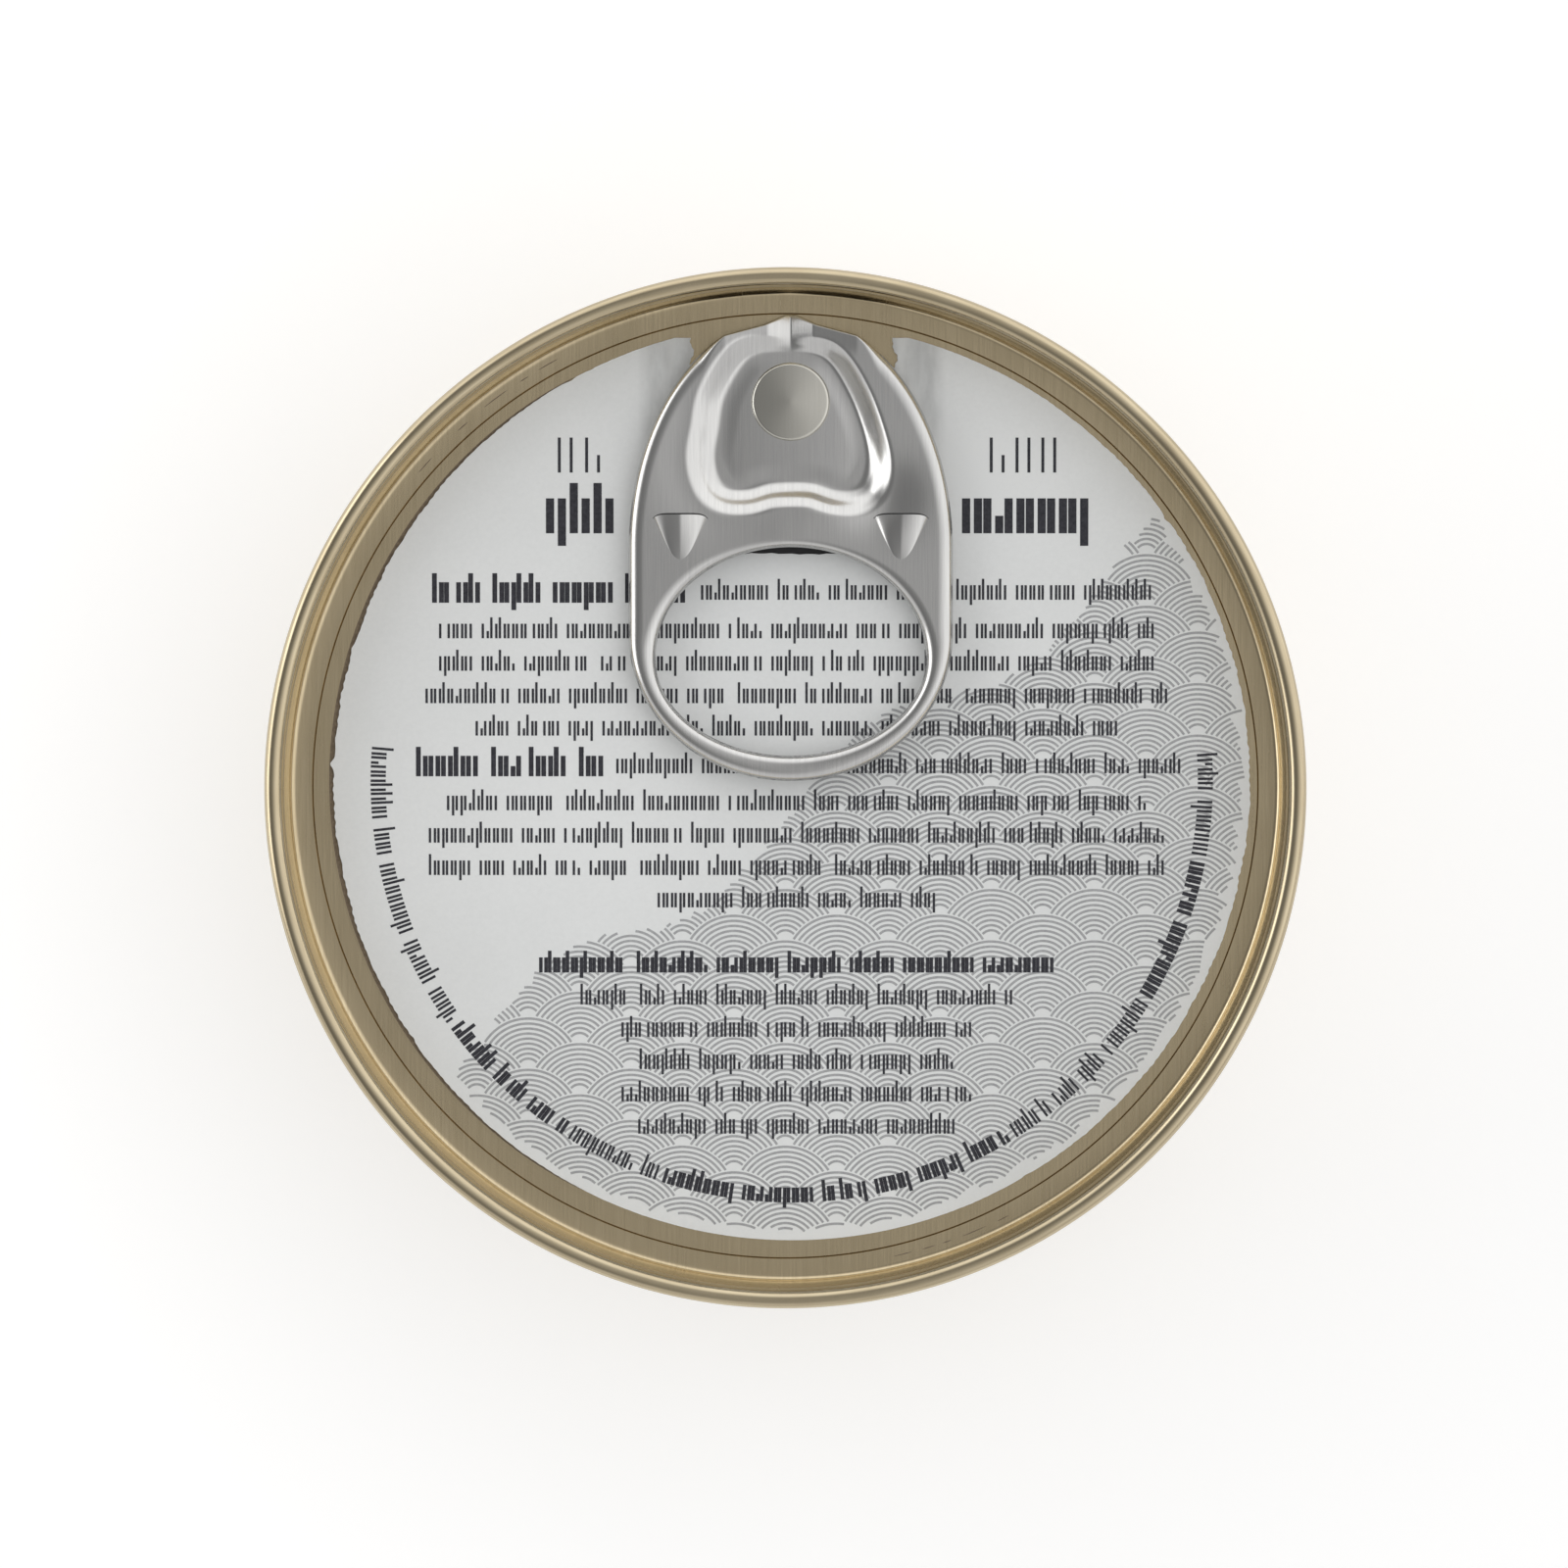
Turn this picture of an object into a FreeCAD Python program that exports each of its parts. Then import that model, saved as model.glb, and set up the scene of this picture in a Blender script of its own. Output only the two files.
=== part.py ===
import FreeCAD, Part
import math
import os

# A shut, round two-piece aluminium tin with a ring-pull end, stuck-on paper label and rolled ring pull.
# Millimetres.  The origin is at the middle of the base, +Z is up and the pull's nose points along +Y.

# Tin body
TIN_HEIGHT = 30.0             # base to the crown of the seam
SEAM_RADIUS = 34.15           # outside of the double seam
SEAM_THICKNESS = 1.15         # across the seam at its crown
SEAM_HEIGHT = 2.8             # skirt of the seam, crown to lower edge
SEAM_OVERHANG = 1.0           # how far the seam stands out past the wall
SEAM_SKIRT_ROUND = 0.35       # rounding of the seam's lower outer edge
BODY_SHEET = 0.25             # wall of the drawn body
BODY_HOOK = 1.9               # how far the wall's rim reaches up inside the seam
STACKING_STEP = 0.8           # how far the foot is drawn in, so that tins stack
STACKING_HEIGHT = 3.2         # height of the drawn-in foot
STACKING_SLOPE = 1.0          # height of the slope between foot and wall
STACKING_ROUND = 0.6          # rounding of that slope's two ends
BASE_ROUND = 1.4              # outer rounding of the foot
FOOT_WIDTH = 1.6              # flat ring that the tin stands on
BASE_RECESS = 0.9             # how far the middle of the base is pressed up
BASE_RECESS_SLOPE = 1.3       # width of the slope from foot ring to recess
BASE_RECESS_ROUND = 0.5       # rounding of that slope's two ends
BASE_BEAD_RADIUS = 21.0       # stiffening bead in the base
BASE_BEAD_WIDTH = 2.4
BASE_BEAD_FLAT = 0.8          # width of the bead's level bottom
BASE_BEAD_DEPTH = 0.4

# End (lid)
COUNTERSINK = 4.0             # crown of the seam to the panel
CHUCK_TAPER = 0.35            # how much the chuck wall narrows from crown to panel
PANEL_SHEET = 0.25            # thickness of the end's sheet
COUNTERSINK_BEND = 0.4        # inner bend between chuck wall and panel
SCORE_TO_WALL = 1.45          # chuck wall's foot to the tear line
SCORE_WIDTH = 0.22
SCORE_DEPTH = 0.1

# Rivet, drawn from the end's own sheet
RIVET_HEAD_RADIUS = 2.6
RIVET_HEAD_HEIGHT = 0.45
RIVET_HEAD_ROUND = 0.12
RIVET_DOME = 0.1              # rise of the head's middle over its edge
RIVET_SHANK_RADIUS = 1.6

# Label
LABEL_SHEET = 0.1
LABEL_TO_SCORE = 0.9          # width of bare panel inside the tear line
LABEL_SHIFT_X = 0.42          # the label is stuck on a little off centre
LABEL_SHIFT_Y = 0.3
SLOT_WIDTH = 13.4             # opening in the label for the pull's nose and rivet
SLOT_SHIFT_X = 0.1            # slot's middle from the pull's middle
SLOT_PAST_HOLE = 0.45         # the slot ends this far inside the finger hole
SLOT_CORNER = 2.0

# Ring pull
PULL_SHIFT_X = 0.35           # the pull is riveted a little off centre
NOSE_TO_SCORE = 0.1           # nose tip to the middle of the tear line
PULL_LENGTH = 30.65           # nose tip to the far end of the ring
PULL_HALF_WIDTH = 10.66
PULL_HEIGHT = 1.35            # height of the rolled edge
PULL_SHEET = 0.3
PULL_FLOAT = 0.45             # rolled edge's underside above the panel
RING_BOW_LENGTH = 9.5         # half-oval end of the ring
SHOULDER_LENGTH = 15.3        # half-oval that narrows to the nose
NOSE_HALF_WIDTH = 4.35        # where the rolled edge stops and the cut nose starts
NOSE_CORNER_BACK = 1.35       # nose tip back to that corner
NOSE_WING_HALF_WIDTH = 1.7
NOSE_WING_BACK = 0.62
BEAK_HALF_WIDTH = 0.4
ROLL_ROUND = 0.55             # rounding of the rolled edge
ROLL_WIDTH = 1.7              # width of the roll where it borders the web
NOSE_DROP = 0.5               # how far the nose is bent down at its tip
NOSE_DROP_LENGTH = 2.2
NOSE_GROOVE_HALF_WIDTH = 1.6
NOSE_GROOVE_DEPTH = 0.65

# Finger hole
HOLE_HALF_WIDTH = 8.89
HOLE_TO_RING_END = 1.68       # width of the ring's far limb
HOLE_BOW_LENGTH = 6.39        # half-oval towards the ring's end
HOLE_CROWN_LENGTH = 7.32      # half-oval towards the nose

# Sunk island round the rivet
NOSE_TO_RIVET = 5.65
ISLAND_HALF_WIDTH = 4.92      # at the floor, at its widest
ISLAND_TOP_HALF_WIDTH = 2.75  # at the floor, at its nose end
RIVET_TO_ISLAND_TOP = 3.05
RIVET_TO_ISLAND_END = 5.6
ISLAND_TOP_CORNER = 0.95      # how far the rounded corners at the nose end reach down
ISLAND_TOP_FLAT = 0.62        # share of that end's width before its corners bend down
ISLAND_WAIST = 0.79           # half width beside the rivet, as a share of the widest
ISLAND_WIDEST = 2.1           # island's lower edge to its widest place
ISLAND_FLANK = (0.96, 0.4)    # below the widest place: share of the half width, share of that height
ISLAND_CORNER = (0.85, 0.04)  # lower corner, likewise
ISLAND_END_FLAT = 0.6         # share of the half width where the lower edge starts to bow
ISLAND_END_ARCH = 0.38        # bow of the island's lower edge
ISLAND_SLOPE = 1.5            # width of the sloping wall round the floor
ISLAND_FLOOR = 0.3            # sheet at the island's floor

# Two lanced bumps in the web
BUMP_FROM_MIDDLE = 7.25
BUMP_HALF_WIDTH = 1.75
BUMP_LENGTH = 2.9
BUMP_HEIGHT = 0.75
BUMP_SLIT = 0.12              # width of the cut at the bump's open end
BUMP_SINK = 0.1               # the half cone's axis lies this far under the web's top
HOLE_CROWN_TO_BUMP_SLIT = 2.15

# Working allowances
TOUCHING = 1e-6               # points nearer than this count as one
ON_NOSE = 1e-3                # how far short of the nose corner an edge may start and still be the nose's
CUT_PAST = 1.0                # how far a cutting tool reaches past the pull
SPLIT = 0.01                  # keeps two faces that only just touch from being one

# Heights and radii that follow
seam_inner_radius = SEAM_RADIUS - SEAM_THICKNESS
crown_radius = SEAM_THICKNESS / 2
panel_z = TIN_HEIGHT - COUNTERSINK
panel_radius = seam_inner_radius - CHUCK_TAPER
score_radius = panel_radius - SCORE_TO_WALL
seam_bottom_z = TIN_HEIGHT - SEAM_HEIGHT
body_radius = SEAM_RADIUS - SEAM_OVERHANG
body_inner_radius = body_radius - BODY_SHEET
foot_radius = body_radius - STACKING_STEP
label_radius = score_radius - LABEL_TO_SCORE

nose_y = score_radius - NOSE_TO_SCORE
rivet_y = nose_y - NOSE_TO_RIVET
ring_end_y = nose_y - PULL_LENGTH
ring_bow_y = ring_end_y + RING_BOW_LENGTH
nose_corner_y = nose_y - NOSE_CORNER_BACK
hole_y = ring_end_y + HOLE_TO_RING_END + HOLE_BOW_LENGTH
hole_crown_y = hole_y + HOLE_CROWN_LENGTH
pull_bottom_z = panel_z + PULL_FLOAT
pull_top_z = pull_bottom_z + PULL_HEIGHT
island_top_z = panel_z + ISLAND_FLOOR
web_bottom_z = pull_top_z - PULL_SHEET
slit_y = hole_crown_y + HOLE_CROWN_TO_BUMP_SLIT


def point(x, y, z=0.0):
    """A vector, for short."""
    return FreeCAD.Vector(x, y, z)


def polygon_wire(corners):
    """Closed wire of straight edges through the corners."""
    return Part.makePolygon(corners + [corners[0]])


def spun(corners_and_arcs):
    """Solid of revolution about Z from a closed list of edges drawn in the XZ plane."""
    face = Part.Face(Part.Wire(Part.__sortEdges__(corners_and_arcs)))
    return face.revolve(point(0, 0, 0), point(0, 0, 1), 360)


def half_section(outline):
    """Edges of a section in XZ.  Each item of outline is (r, z) or (r, z, round) for a rounded corner."""
    corners = [point(item[0], 0, item[1]) for item in outline]
    rounds = [item[2] if len(item) > 2 else 0.0 for item in outline]
    count = len(corners)
    entries = []
    exits = []
    arcs = []
    for index in range(count):
        here = corners[index]
        before = (corners[index - 1] - here).normalize()
        after = (corners[(index + 1) % count] - here).normalize()
        if rounds[index] == 0.0:
            entries.append(here)
            exits.append(here)
            continue
        half_angle = before.getAngle(after) / 2
        reach = rounds[index] / math.tan(half_angle)
        middle = here + (before + after).normalize() * (rounds[index] / math.sin(half_angle))
        start = here + before * reach
        end = here + after * reach
        crest = middle + (here - middle).normalize() * rounds[index]
        arcs.append(Part.Arc(start, crest, end).toShape())
        entries.append(start)
        exits.append(end)
    lines = []
    for index in range(count):
        start = exits[index]
        end = entries[(index + 1) % count]
        if start.distanceToPoint(end) > TOUCHING:
            lines.append(Part.makeLine(start, end))
    return lines + arcs


def make_body():
    """Filled body: drawn wall with a stacking foot, recessed and beaded base, and a rim inside the seam."""
    recess_radius = foot_radius - BASE_ROUND - FOOT_WIDTH - BASE_RECESS_SLOPE
    bead_inner = BASE_BEAD_RADIUS - BASE_BEAD_WIDTH / 2
    bead_outer = BASE_BEAD_RADIUS + BASE_BEAD_WIDTH / 2
    bead_flat = BASE_BEAD_FLAT / 2
    bead_z = BASE_RECESS + BASE_BEAD_DEPTH
    under_panel_z = panel_z - PANEL_SHEET
    rim_z = seam_bottom_z + BODY_HOOK
    outline = [
        (0, under_panel_z),
        (0, BASE_RECESS),
        (bead_inner, BASE_RECESS),
        (BASE_BEAD_RADIUS - bead_flat, bead_z),
        (BASE_BEAD_RADIUS + bead_flat, bead_z),
        (bead_outer, BASE_RECESS),
        (recess_radius, BASE_RECESS, BASE_RECESS_ROUND),
        (recess_radius + BASE_RECESS_SLOPE, 0, BASE_RECESS_ROUND),
        (foot_radius, 0, BASE_ROUND),
        (foot_radius, STACKING_HEIGHT, STACKING_ROUND),
        (body_radius, STACKING_HEIGHT + STACKING_SLOPE, STACKING_ROUND),
        (body_radius, rim_z),
        (body_inner_radius, rim_z),
        (body_inner_radius, under_panel_z),
    ]
    return spun(half_section(outline))


def make_end():
    """End: seam with a rounded crown, chuck wall, panel with its tear line, and the rivet."""
    under_panel_z = panel_z - PANEL_SHEET
    wall_top_z = TIN_HEIGHT - crown_radius
    slot_top_z = seam_bottom_z + BODY_HOOK
    crown_middle = SEAM_RADIUS - crown_radius
    outline = [
        (0, panel_z),
        (score_radius - SCORE_WIDTH / 2, panel_z),
        (score_radius, panel_z - SCORE_DEPTH),
        (score_radius + SCORE_WIDTH / 2, panel_z),
        (panel_radius, panel_z, COUNTERSINK_BEND),
        (seam_inner_radius, wall_top_z),
    ]
    crown = Part.Arc(
        point(seam_inner_radius, 0, wall_top_z),
        point(crown_middle, 0, TIN_HEIGHT),
        point(SEAM_RADIUS, 0, wall_top_z),
    )
    skirt = [
        (SEAM_RADIUS, wall_top_z),
        (SEAM_RADIUS, seam_bottom_z, SEAM_SKIRT_ROUND),
        (body_radius, seam_bottom_z),
        (body_radius, slot_top_z),
        (body_inner_radius, slot_top_z),
        (body_inner_radius, under_panel_z),
        (0, under_panel_z),
    ]
    closed = half_section(outline + skirt)
    crown_chord_middle = point(crown_middle, 0, wall_top_z)
    edges = [edge for edge in closed if edge.CenterOfMass.distanceToPoint(crown_chord_middle) > TOUCHING]
    end = spun(edges + [crown.toShape()])
    return end.fuse(make_rivet()).removeSplitter()


def make_rivet():
    """Rivet: shank and a slightly domed head over the pull's island."""
    head_z = island_top_z + RIVET_HEAD_HEIGHT
    edge_z = head_z - RIVET_DOME
    outline = [
        (0, panel_z - PANEL_SHEET / 2),
        (RIVET_SHANK_RADIUS, panel_z - PANEL_SHEET / 2),
        (RIVET_SHANK_RADIUS, island_top_z),
        (RIVET_HEAD_RADIUS, island_top_z),
        (RIVET_HEAD_RADIUS, edge_z, RIVET_HEAD_ROUND),
        (0, head_z),
    ]
    return spun(half_section(outline)).translated(point(PULL_SHIFT_X, rivet_y))


def make_label():
    """Round paper label with a slot for the pull."""
    middle = point(LABEL_SHIFT_X, LABEL_SHIFT_Y, panel_z)
    disc = Part.makeCylinder(label_radius, LABEL_SHEET, middle)
    slot_middle = PULL_SHIFT_X + SLOT_SHIFT_X
    slot_end_y = hole_crown_y - SLOT_PAST_HOLE
    slot_length = score_radius - slot_end_y
    corner = point(slot_middle - SLOT_WIDTH / 2, slot_end_y, panel_z)
    slot = Part.makeBox(SLOT_WIDTH, slot_length, LABEL_SHEET, corner)
    end_limit = slot_end_y + TOUCHING
    inner_corners = [edge for edge in slot.Edges if is_upright(edge) and edge.CenterOfMass.y < end_limit]
    return disc.cut(slot.makeFillet(SLOT_CORNER, inner_corners))


def is_upright(edge):
    """Whether a straight edge runs along Z."""
    start = edge.Vertexes[0].Point
    end = edge.Vertexes[-1].Point
    return math.hypot(end.x - start.x, end.y - start.y) < TOUCHING and abs(end.z - start.z) > TOUCHING


def oval_edge(middle_y, half_width, length, start, end):
    """Exact arc of an oval about the pull's middle line, from angle start to end in degrees."""
    circle = Part.Circle(point(0, 0), point(0, 0, 1), 1)
    arc = Part.ArcOfCircle(circle, math.radians(start), math.radians(end)).toShape()
    stretch = FreeCAD.Matrix()
    stretch.scale(half_width, length, 1)
    stretched = arc.transformGeometry(stretch)
    stretched.translate(point(0, middle_y))
    return stretched.Edges[0]


def raised_face(edges, z):
    """Face inside a closed chain of edges drawn at z = 0, lifted to z."""
    face = Part.Face(Part.Wire(Part.__sortEdges__(edges)))
    face.translate(point(0, 0, z))
    return face


def pull_outline(inset):
    """Edges of the pull's outline but for its nose, set in by inset, with the two corners of the nose."""
    half_width = PULL_HALF_WIDTH - inset
    narrowing = NOSE_HALF_WIDTH / PULL_HALF_WIDTH
    shoulder_y = nose_corner_y - SHOULDER_LENGTH * math.sqrt(1 - narrowing ** 2)
    corner_angle = math.degrees(math.acos(narrowing))
    bow = oval_edge(ring_bow_y, half_width, RING_BOW_LENGTH - inset, 180, 360)
    right = oval_edge(shoulder_y, half_width, SHOULDER_LENGTH - inset, 0, corner_angle)
    left = oval_edge(shoulder_y, half_width, SHOULDER_LENGTH - inset, 180 - corner_angle, 180)
    right_side = Part.makeLine(bow.Vertexes[-1].Point, right.Vertexes[0].Point)
    left_side = Part.makeLine(left.Vertexes[-1].Point, bow.Vertexes[0].Point)
    return [bow, right_side, right, left, left_side], right.Vertexes[-1].Point, left.Vertexes[0].Point


def nose_edges(right_corner, left_corner):
    """Cut edge of the nose, from the right corner round the beak to the left corner."""
    wing_y = nose_y - NOSE_WING_BACK
    stops = [
        right_corner,
        point(NOSE_WING_HALF_WIDTH, wing_y),
        point(BEAK_HALF_WIDTH, nose_y),
        point(-BEAK_HALF_WIDTH, nose_y),
        point(-NOSE_WING_HALF_WIDTH, wing_y),
        left_corner,
    ]
    return [Part.makeLine(start, end) for start, end in zip(stops, stops[1:])]


def hole_edges(outset):
    """Edges of the finger hole, grown by outset."""
    half_width = HOLE_HALF_WIDTH + outset
    return [
        oval_edge(hole_y, half_width, HOLE_BOW_LENGTH + outset, 180, 360),
        oval_edge(hole_y, half_width, HOLE_CROWN_LENGTH + outset, 0, 180),
    ]


def island_wire(outset, z):
    """Bell-shaped closed outline of the island at height z, grown by outset, less so at the nose end."""
    wide = ISLAND_HALF_WIDTH + outset
    narrow = ISLAND_TOP_HALF_WIDTH + outset / 2
    top_y = rivet_y + RIVET_TO_ISLAND_TOP + outset / 2
    end_y = rivet_y - RIVET_TO_ISLAND_END - outset
    stops = [
        point(0, top_y, z),
        point(ISLAND_TOP_FLAT * narrow, top_y - ISLAND_TOP_CORNER / 8, z),
        point(narrow, top_y - ISLAND_TOP_CORNER, z),
        point(ISLAND_WAIST * wide, rivet_y, z),
        point(wide, end_y + ISLAND_WIDEST, z),
        point(ISLAND_FLANK[0] * wide, end_y + ISLAND_FLANK[1] * ISLAND_WIDEST, z),
        point(ISLAND_CORNER[0] * wide, end_y + ISLAND_CORNER[1] * ISLAND_WIDEST, z),
        point(ISLAND_END_FLAT * wide, end_y, z),
        point(0, end_y + ISLAND_END_ARCH, z),
    ]
    mirrored = [point(-stop.x, stop.y, z) for stop in reversed(stops[1:-1])]
    curve = Part.BSplineCurve()
    curve.interpolate(Points=stops + mirrored, PeriodicFlag=True)
    return Part.Wire(curve.toShape())


def bump_cone(half_width, length, height):
    """Flattened half cone lying on the web, with its tip towards the ring's far end."""
    cone = Part.makeCone(0, half_width, length, point(0, 0, 0), point(0, 1, 0))
    flatten = FreeCAD.Matrix()
    flatten.scale(1, 1, height / half_width)
    return cone.transformGeometry(flatten)


def make_pull():
    """Ring pull: web and rolled edge, sunk island with the rivet's hole, grooved nose and two bumps."""
    round_edges, right_corner, left_corner = pull_outline(0)
    blank = raised_face(round_edges + nose_edges(right_corner, left_corner), pull_bottom_z)
    pull = blank.extrude(point(0, 0, PULL_HEIGHT))
    hole = raised_face(hole_edges(0), pull_bottom_z).extrude(point(0, 0, PULL_HEIGHT))
    pull = pull.cut(hole)
    rolled = [edge for edge in pull.Edges if is_level(edge) and not is_on_nose(edge)]
    pull = pull.makeFillet(ROLL_ROUND, rolled)

    web_round, web_right, web_left = pull_outline(ROLL_WIDTH)
    web = raised_face(web_round + [Part.makeLine(web_right, web_left)], pull_bottom_z)
    hollow = web.extrude(point(0, 0, PULL_HEIGHT - PULL_SHEET))
    roll_face = raised_face(hole_edges(ROLL_WIDTH), pull_bottom_z)
    hollow = hollow.cut(roll_face.extrude(point(0, 0, PULL_HEIGHT)))
    pull = pull.cut(hollow)

    bowl = Part.makeLoft([
        island_wire(PULL_SHEET, panel_z),
        island_wire(ISLAND_SLOPE + PULL_SHEET, web_bottom_z),
        island_wire(ISLAND_SLOPE + PULL_SHEET, pull_top_z),
    ], True, True)
    sunk = Part.makeLoft([
        island_wire(0, island_top_z),
        island_wire(ISLAND_SLOPE, pull_top_z),
    ], True, True)
    pull = pull.fuse(bowl).cut(sunk)
    pull = pull.cut(Part.makeCylinder(RIVET_SHANK_RADIUS, PULL_HEIGHT * 2, point(0, rivet_y, panel_z)))
    pull = pull.cut(nose_cutter())

    for side in (-1, 1):
        pull = add_bump(pull, side * BUMP_FROM_MIDDLE)
    return pull.translated(point(PULL_SHIFT_X, 0))


def is_level(edge):
    """Whether an edge lies in one level plane."""
    return edge.BoundBox.ZLength < TOUCHING


def is_on_nose(edge):
    """Whether an edge belongs to the cut edge of the nose."""
    return edge.BoundBox.YMin > nose_corner_y - ON_NOSE


def nose_cutter():
    """What is pressed out of the nose: a slope down to the tip and a V groove along the middle."""
    slope_y = nose_y - NOSE_DROP_LENGTH
    past_y = nose_y + CUT_PAST
    drop = NOSE_DROP * (NOSE_DROP_LENGTH + CUT_PAST) / NOSE_DROP_LENGTH
    wedge = polygon_wire([
        point(-PULL_HALF_WIDTH, slope_y, pull_top_z),
        point(-PULL_HALF_WIDTH, past_y, pull_top_z - drop),
        point(-PULL_HALF_WIDTH, past_y, pull_top_z + CUT_PAST),
        point(-PULL_HALF_WIDTH, slope_y, pull_top_z + CUT_PAST),
    ])
    slope = Part.Face(wedge).extrude(point(2 * PULL_HALF_WIDTH, 0, 0))
    groove = Part.makeLoft([
        groove_wire(rivet_y + RIVET_TO_ISLAND_TOP, pull_top_z),
        groove_wire(past_y, pull_top_z - drop),
    ], True, True)
    return slope.fuse(groove)


def groove_wire(y, z):
    """Upside-down triangle of the nose's groove at one station."""
    return polygon_wire([
        point(-NOSE_GROOVE_HALF_WIDTH, y, z + SPLIT),
        point(0, y, z - NOSE_GROOVE_DEPTH),
        point(NOSE_GROOVE_HALF_WIDTH, y, z + SPLIT),
    ])


def add_bump(pull, x):
    """Raise one lanced bump: a hollow half cone, open at a slit across its wide end."""
    tip_y = slit_y - BUMP_LENGTH
    inner_half_width = BUMP_HALF_WIDTH - PULL_SHEET
    shell = bump_cone(BUMP_HALF_WIDTH, BUMP_LENGTH, BUMP_HEIGHT + BUMP_SINK)
    shell.translate(point(x, tip_y, pull_top_z - BUMP_SINK))
    room = point(x - 2 * BUMP_HALF_WIDTH, tip_y - BUMP_LENGTH, pull_top_z - PULL_SHEET / 2)
    shell = shell.common(Part.makeBox(4 * BUMP_HALF_WIDTH, 3 * BUMP_LENGTH, PULL_HEIGHT, room))
    cavity = bump_cone(inner_half_width, BUMP_LENGTH, BUMP_HEIGHT + BUMP_SINK)
    cavity.translate(point(x, tip_y, web_bottom_z - BUMP_SINK))
    slit_corner = point(x - inner_half_width, slit_y - BUMP_SLIT / 2, web_bottom_z - PULL_SHEET)
    slit = Part.makeBox(2 * inner_half_width, BUMP_SLIT, PULL_HEIGHT, slit_corner)
    return pull.fuse(shell).cut(cavity).cut(slit)


def main():
    """Write each piece of the tin to its own file."""
    os.makedirs("parts", exist_ok=True)
    pieces = {
        "tin_body": make_body(),
        "lid": make_end(),
        "label": make_label(),
        "ring_pull": make_pull(),
    }
    for name, shape in pieces.items():
        solids = shape.Solids
        print(name, "valid", shape.isValid(), "solids", len(solids), "volume", round(shape.Volume, 2))
        shape.exportStep("parts/" + name + ".step")


main()
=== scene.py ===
"""Looks of a small, shut, round fish pate tin.

The tin has a gold-lacquered aluminium body and end, a bare aluminium ring pull riveted to the end, and a
round paper label stuck on it.  Lengths are in millimetres in the classes and become metres when a mesh is
made.  +Z is up and the pull's nose points along +Y.
"""

import logging
import math
from collections.abc import Callable
from dataclasses import dataclass, field
from enum import Enum

import bpy
import numpy as np
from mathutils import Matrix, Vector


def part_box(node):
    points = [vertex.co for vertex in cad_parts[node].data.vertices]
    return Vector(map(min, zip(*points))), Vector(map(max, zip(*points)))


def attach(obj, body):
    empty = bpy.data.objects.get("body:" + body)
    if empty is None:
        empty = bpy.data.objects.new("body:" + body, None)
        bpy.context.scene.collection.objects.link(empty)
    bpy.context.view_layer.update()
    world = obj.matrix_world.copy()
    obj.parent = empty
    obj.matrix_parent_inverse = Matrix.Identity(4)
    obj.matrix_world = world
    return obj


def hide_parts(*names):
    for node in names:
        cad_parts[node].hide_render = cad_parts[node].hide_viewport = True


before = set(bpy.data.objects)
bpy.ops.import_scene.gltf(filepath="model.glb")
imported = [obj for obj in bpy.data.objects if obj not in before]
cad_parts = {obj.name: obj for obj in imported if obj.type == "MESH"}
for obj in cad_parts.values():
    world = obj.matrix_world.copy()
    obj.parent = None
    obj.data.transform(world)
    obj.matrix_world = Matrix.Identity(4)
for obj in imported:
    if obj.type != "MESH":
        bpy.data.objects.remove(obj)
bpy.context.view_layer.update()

MM = 0.001
WELD_DECIMALS = 5
DISTANCE_CHUNK = 4000
NO_LENGTH = 1e-12
RELIEF_DEPTH = 0.02
WHITE = (1.0, 1.0, 1.0, 1.0)
Array = np.ndarray
Material = bpy.types.Material
Node = bpy.types.Node
Piece = bpy.types.Object
Socket = bpy.types.NodeSocket
Colour = tuple[float, float, float]
Level = Callable[[Array, Array], Array]
log = logging.getLogger("tin")


# Meshes

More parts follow.
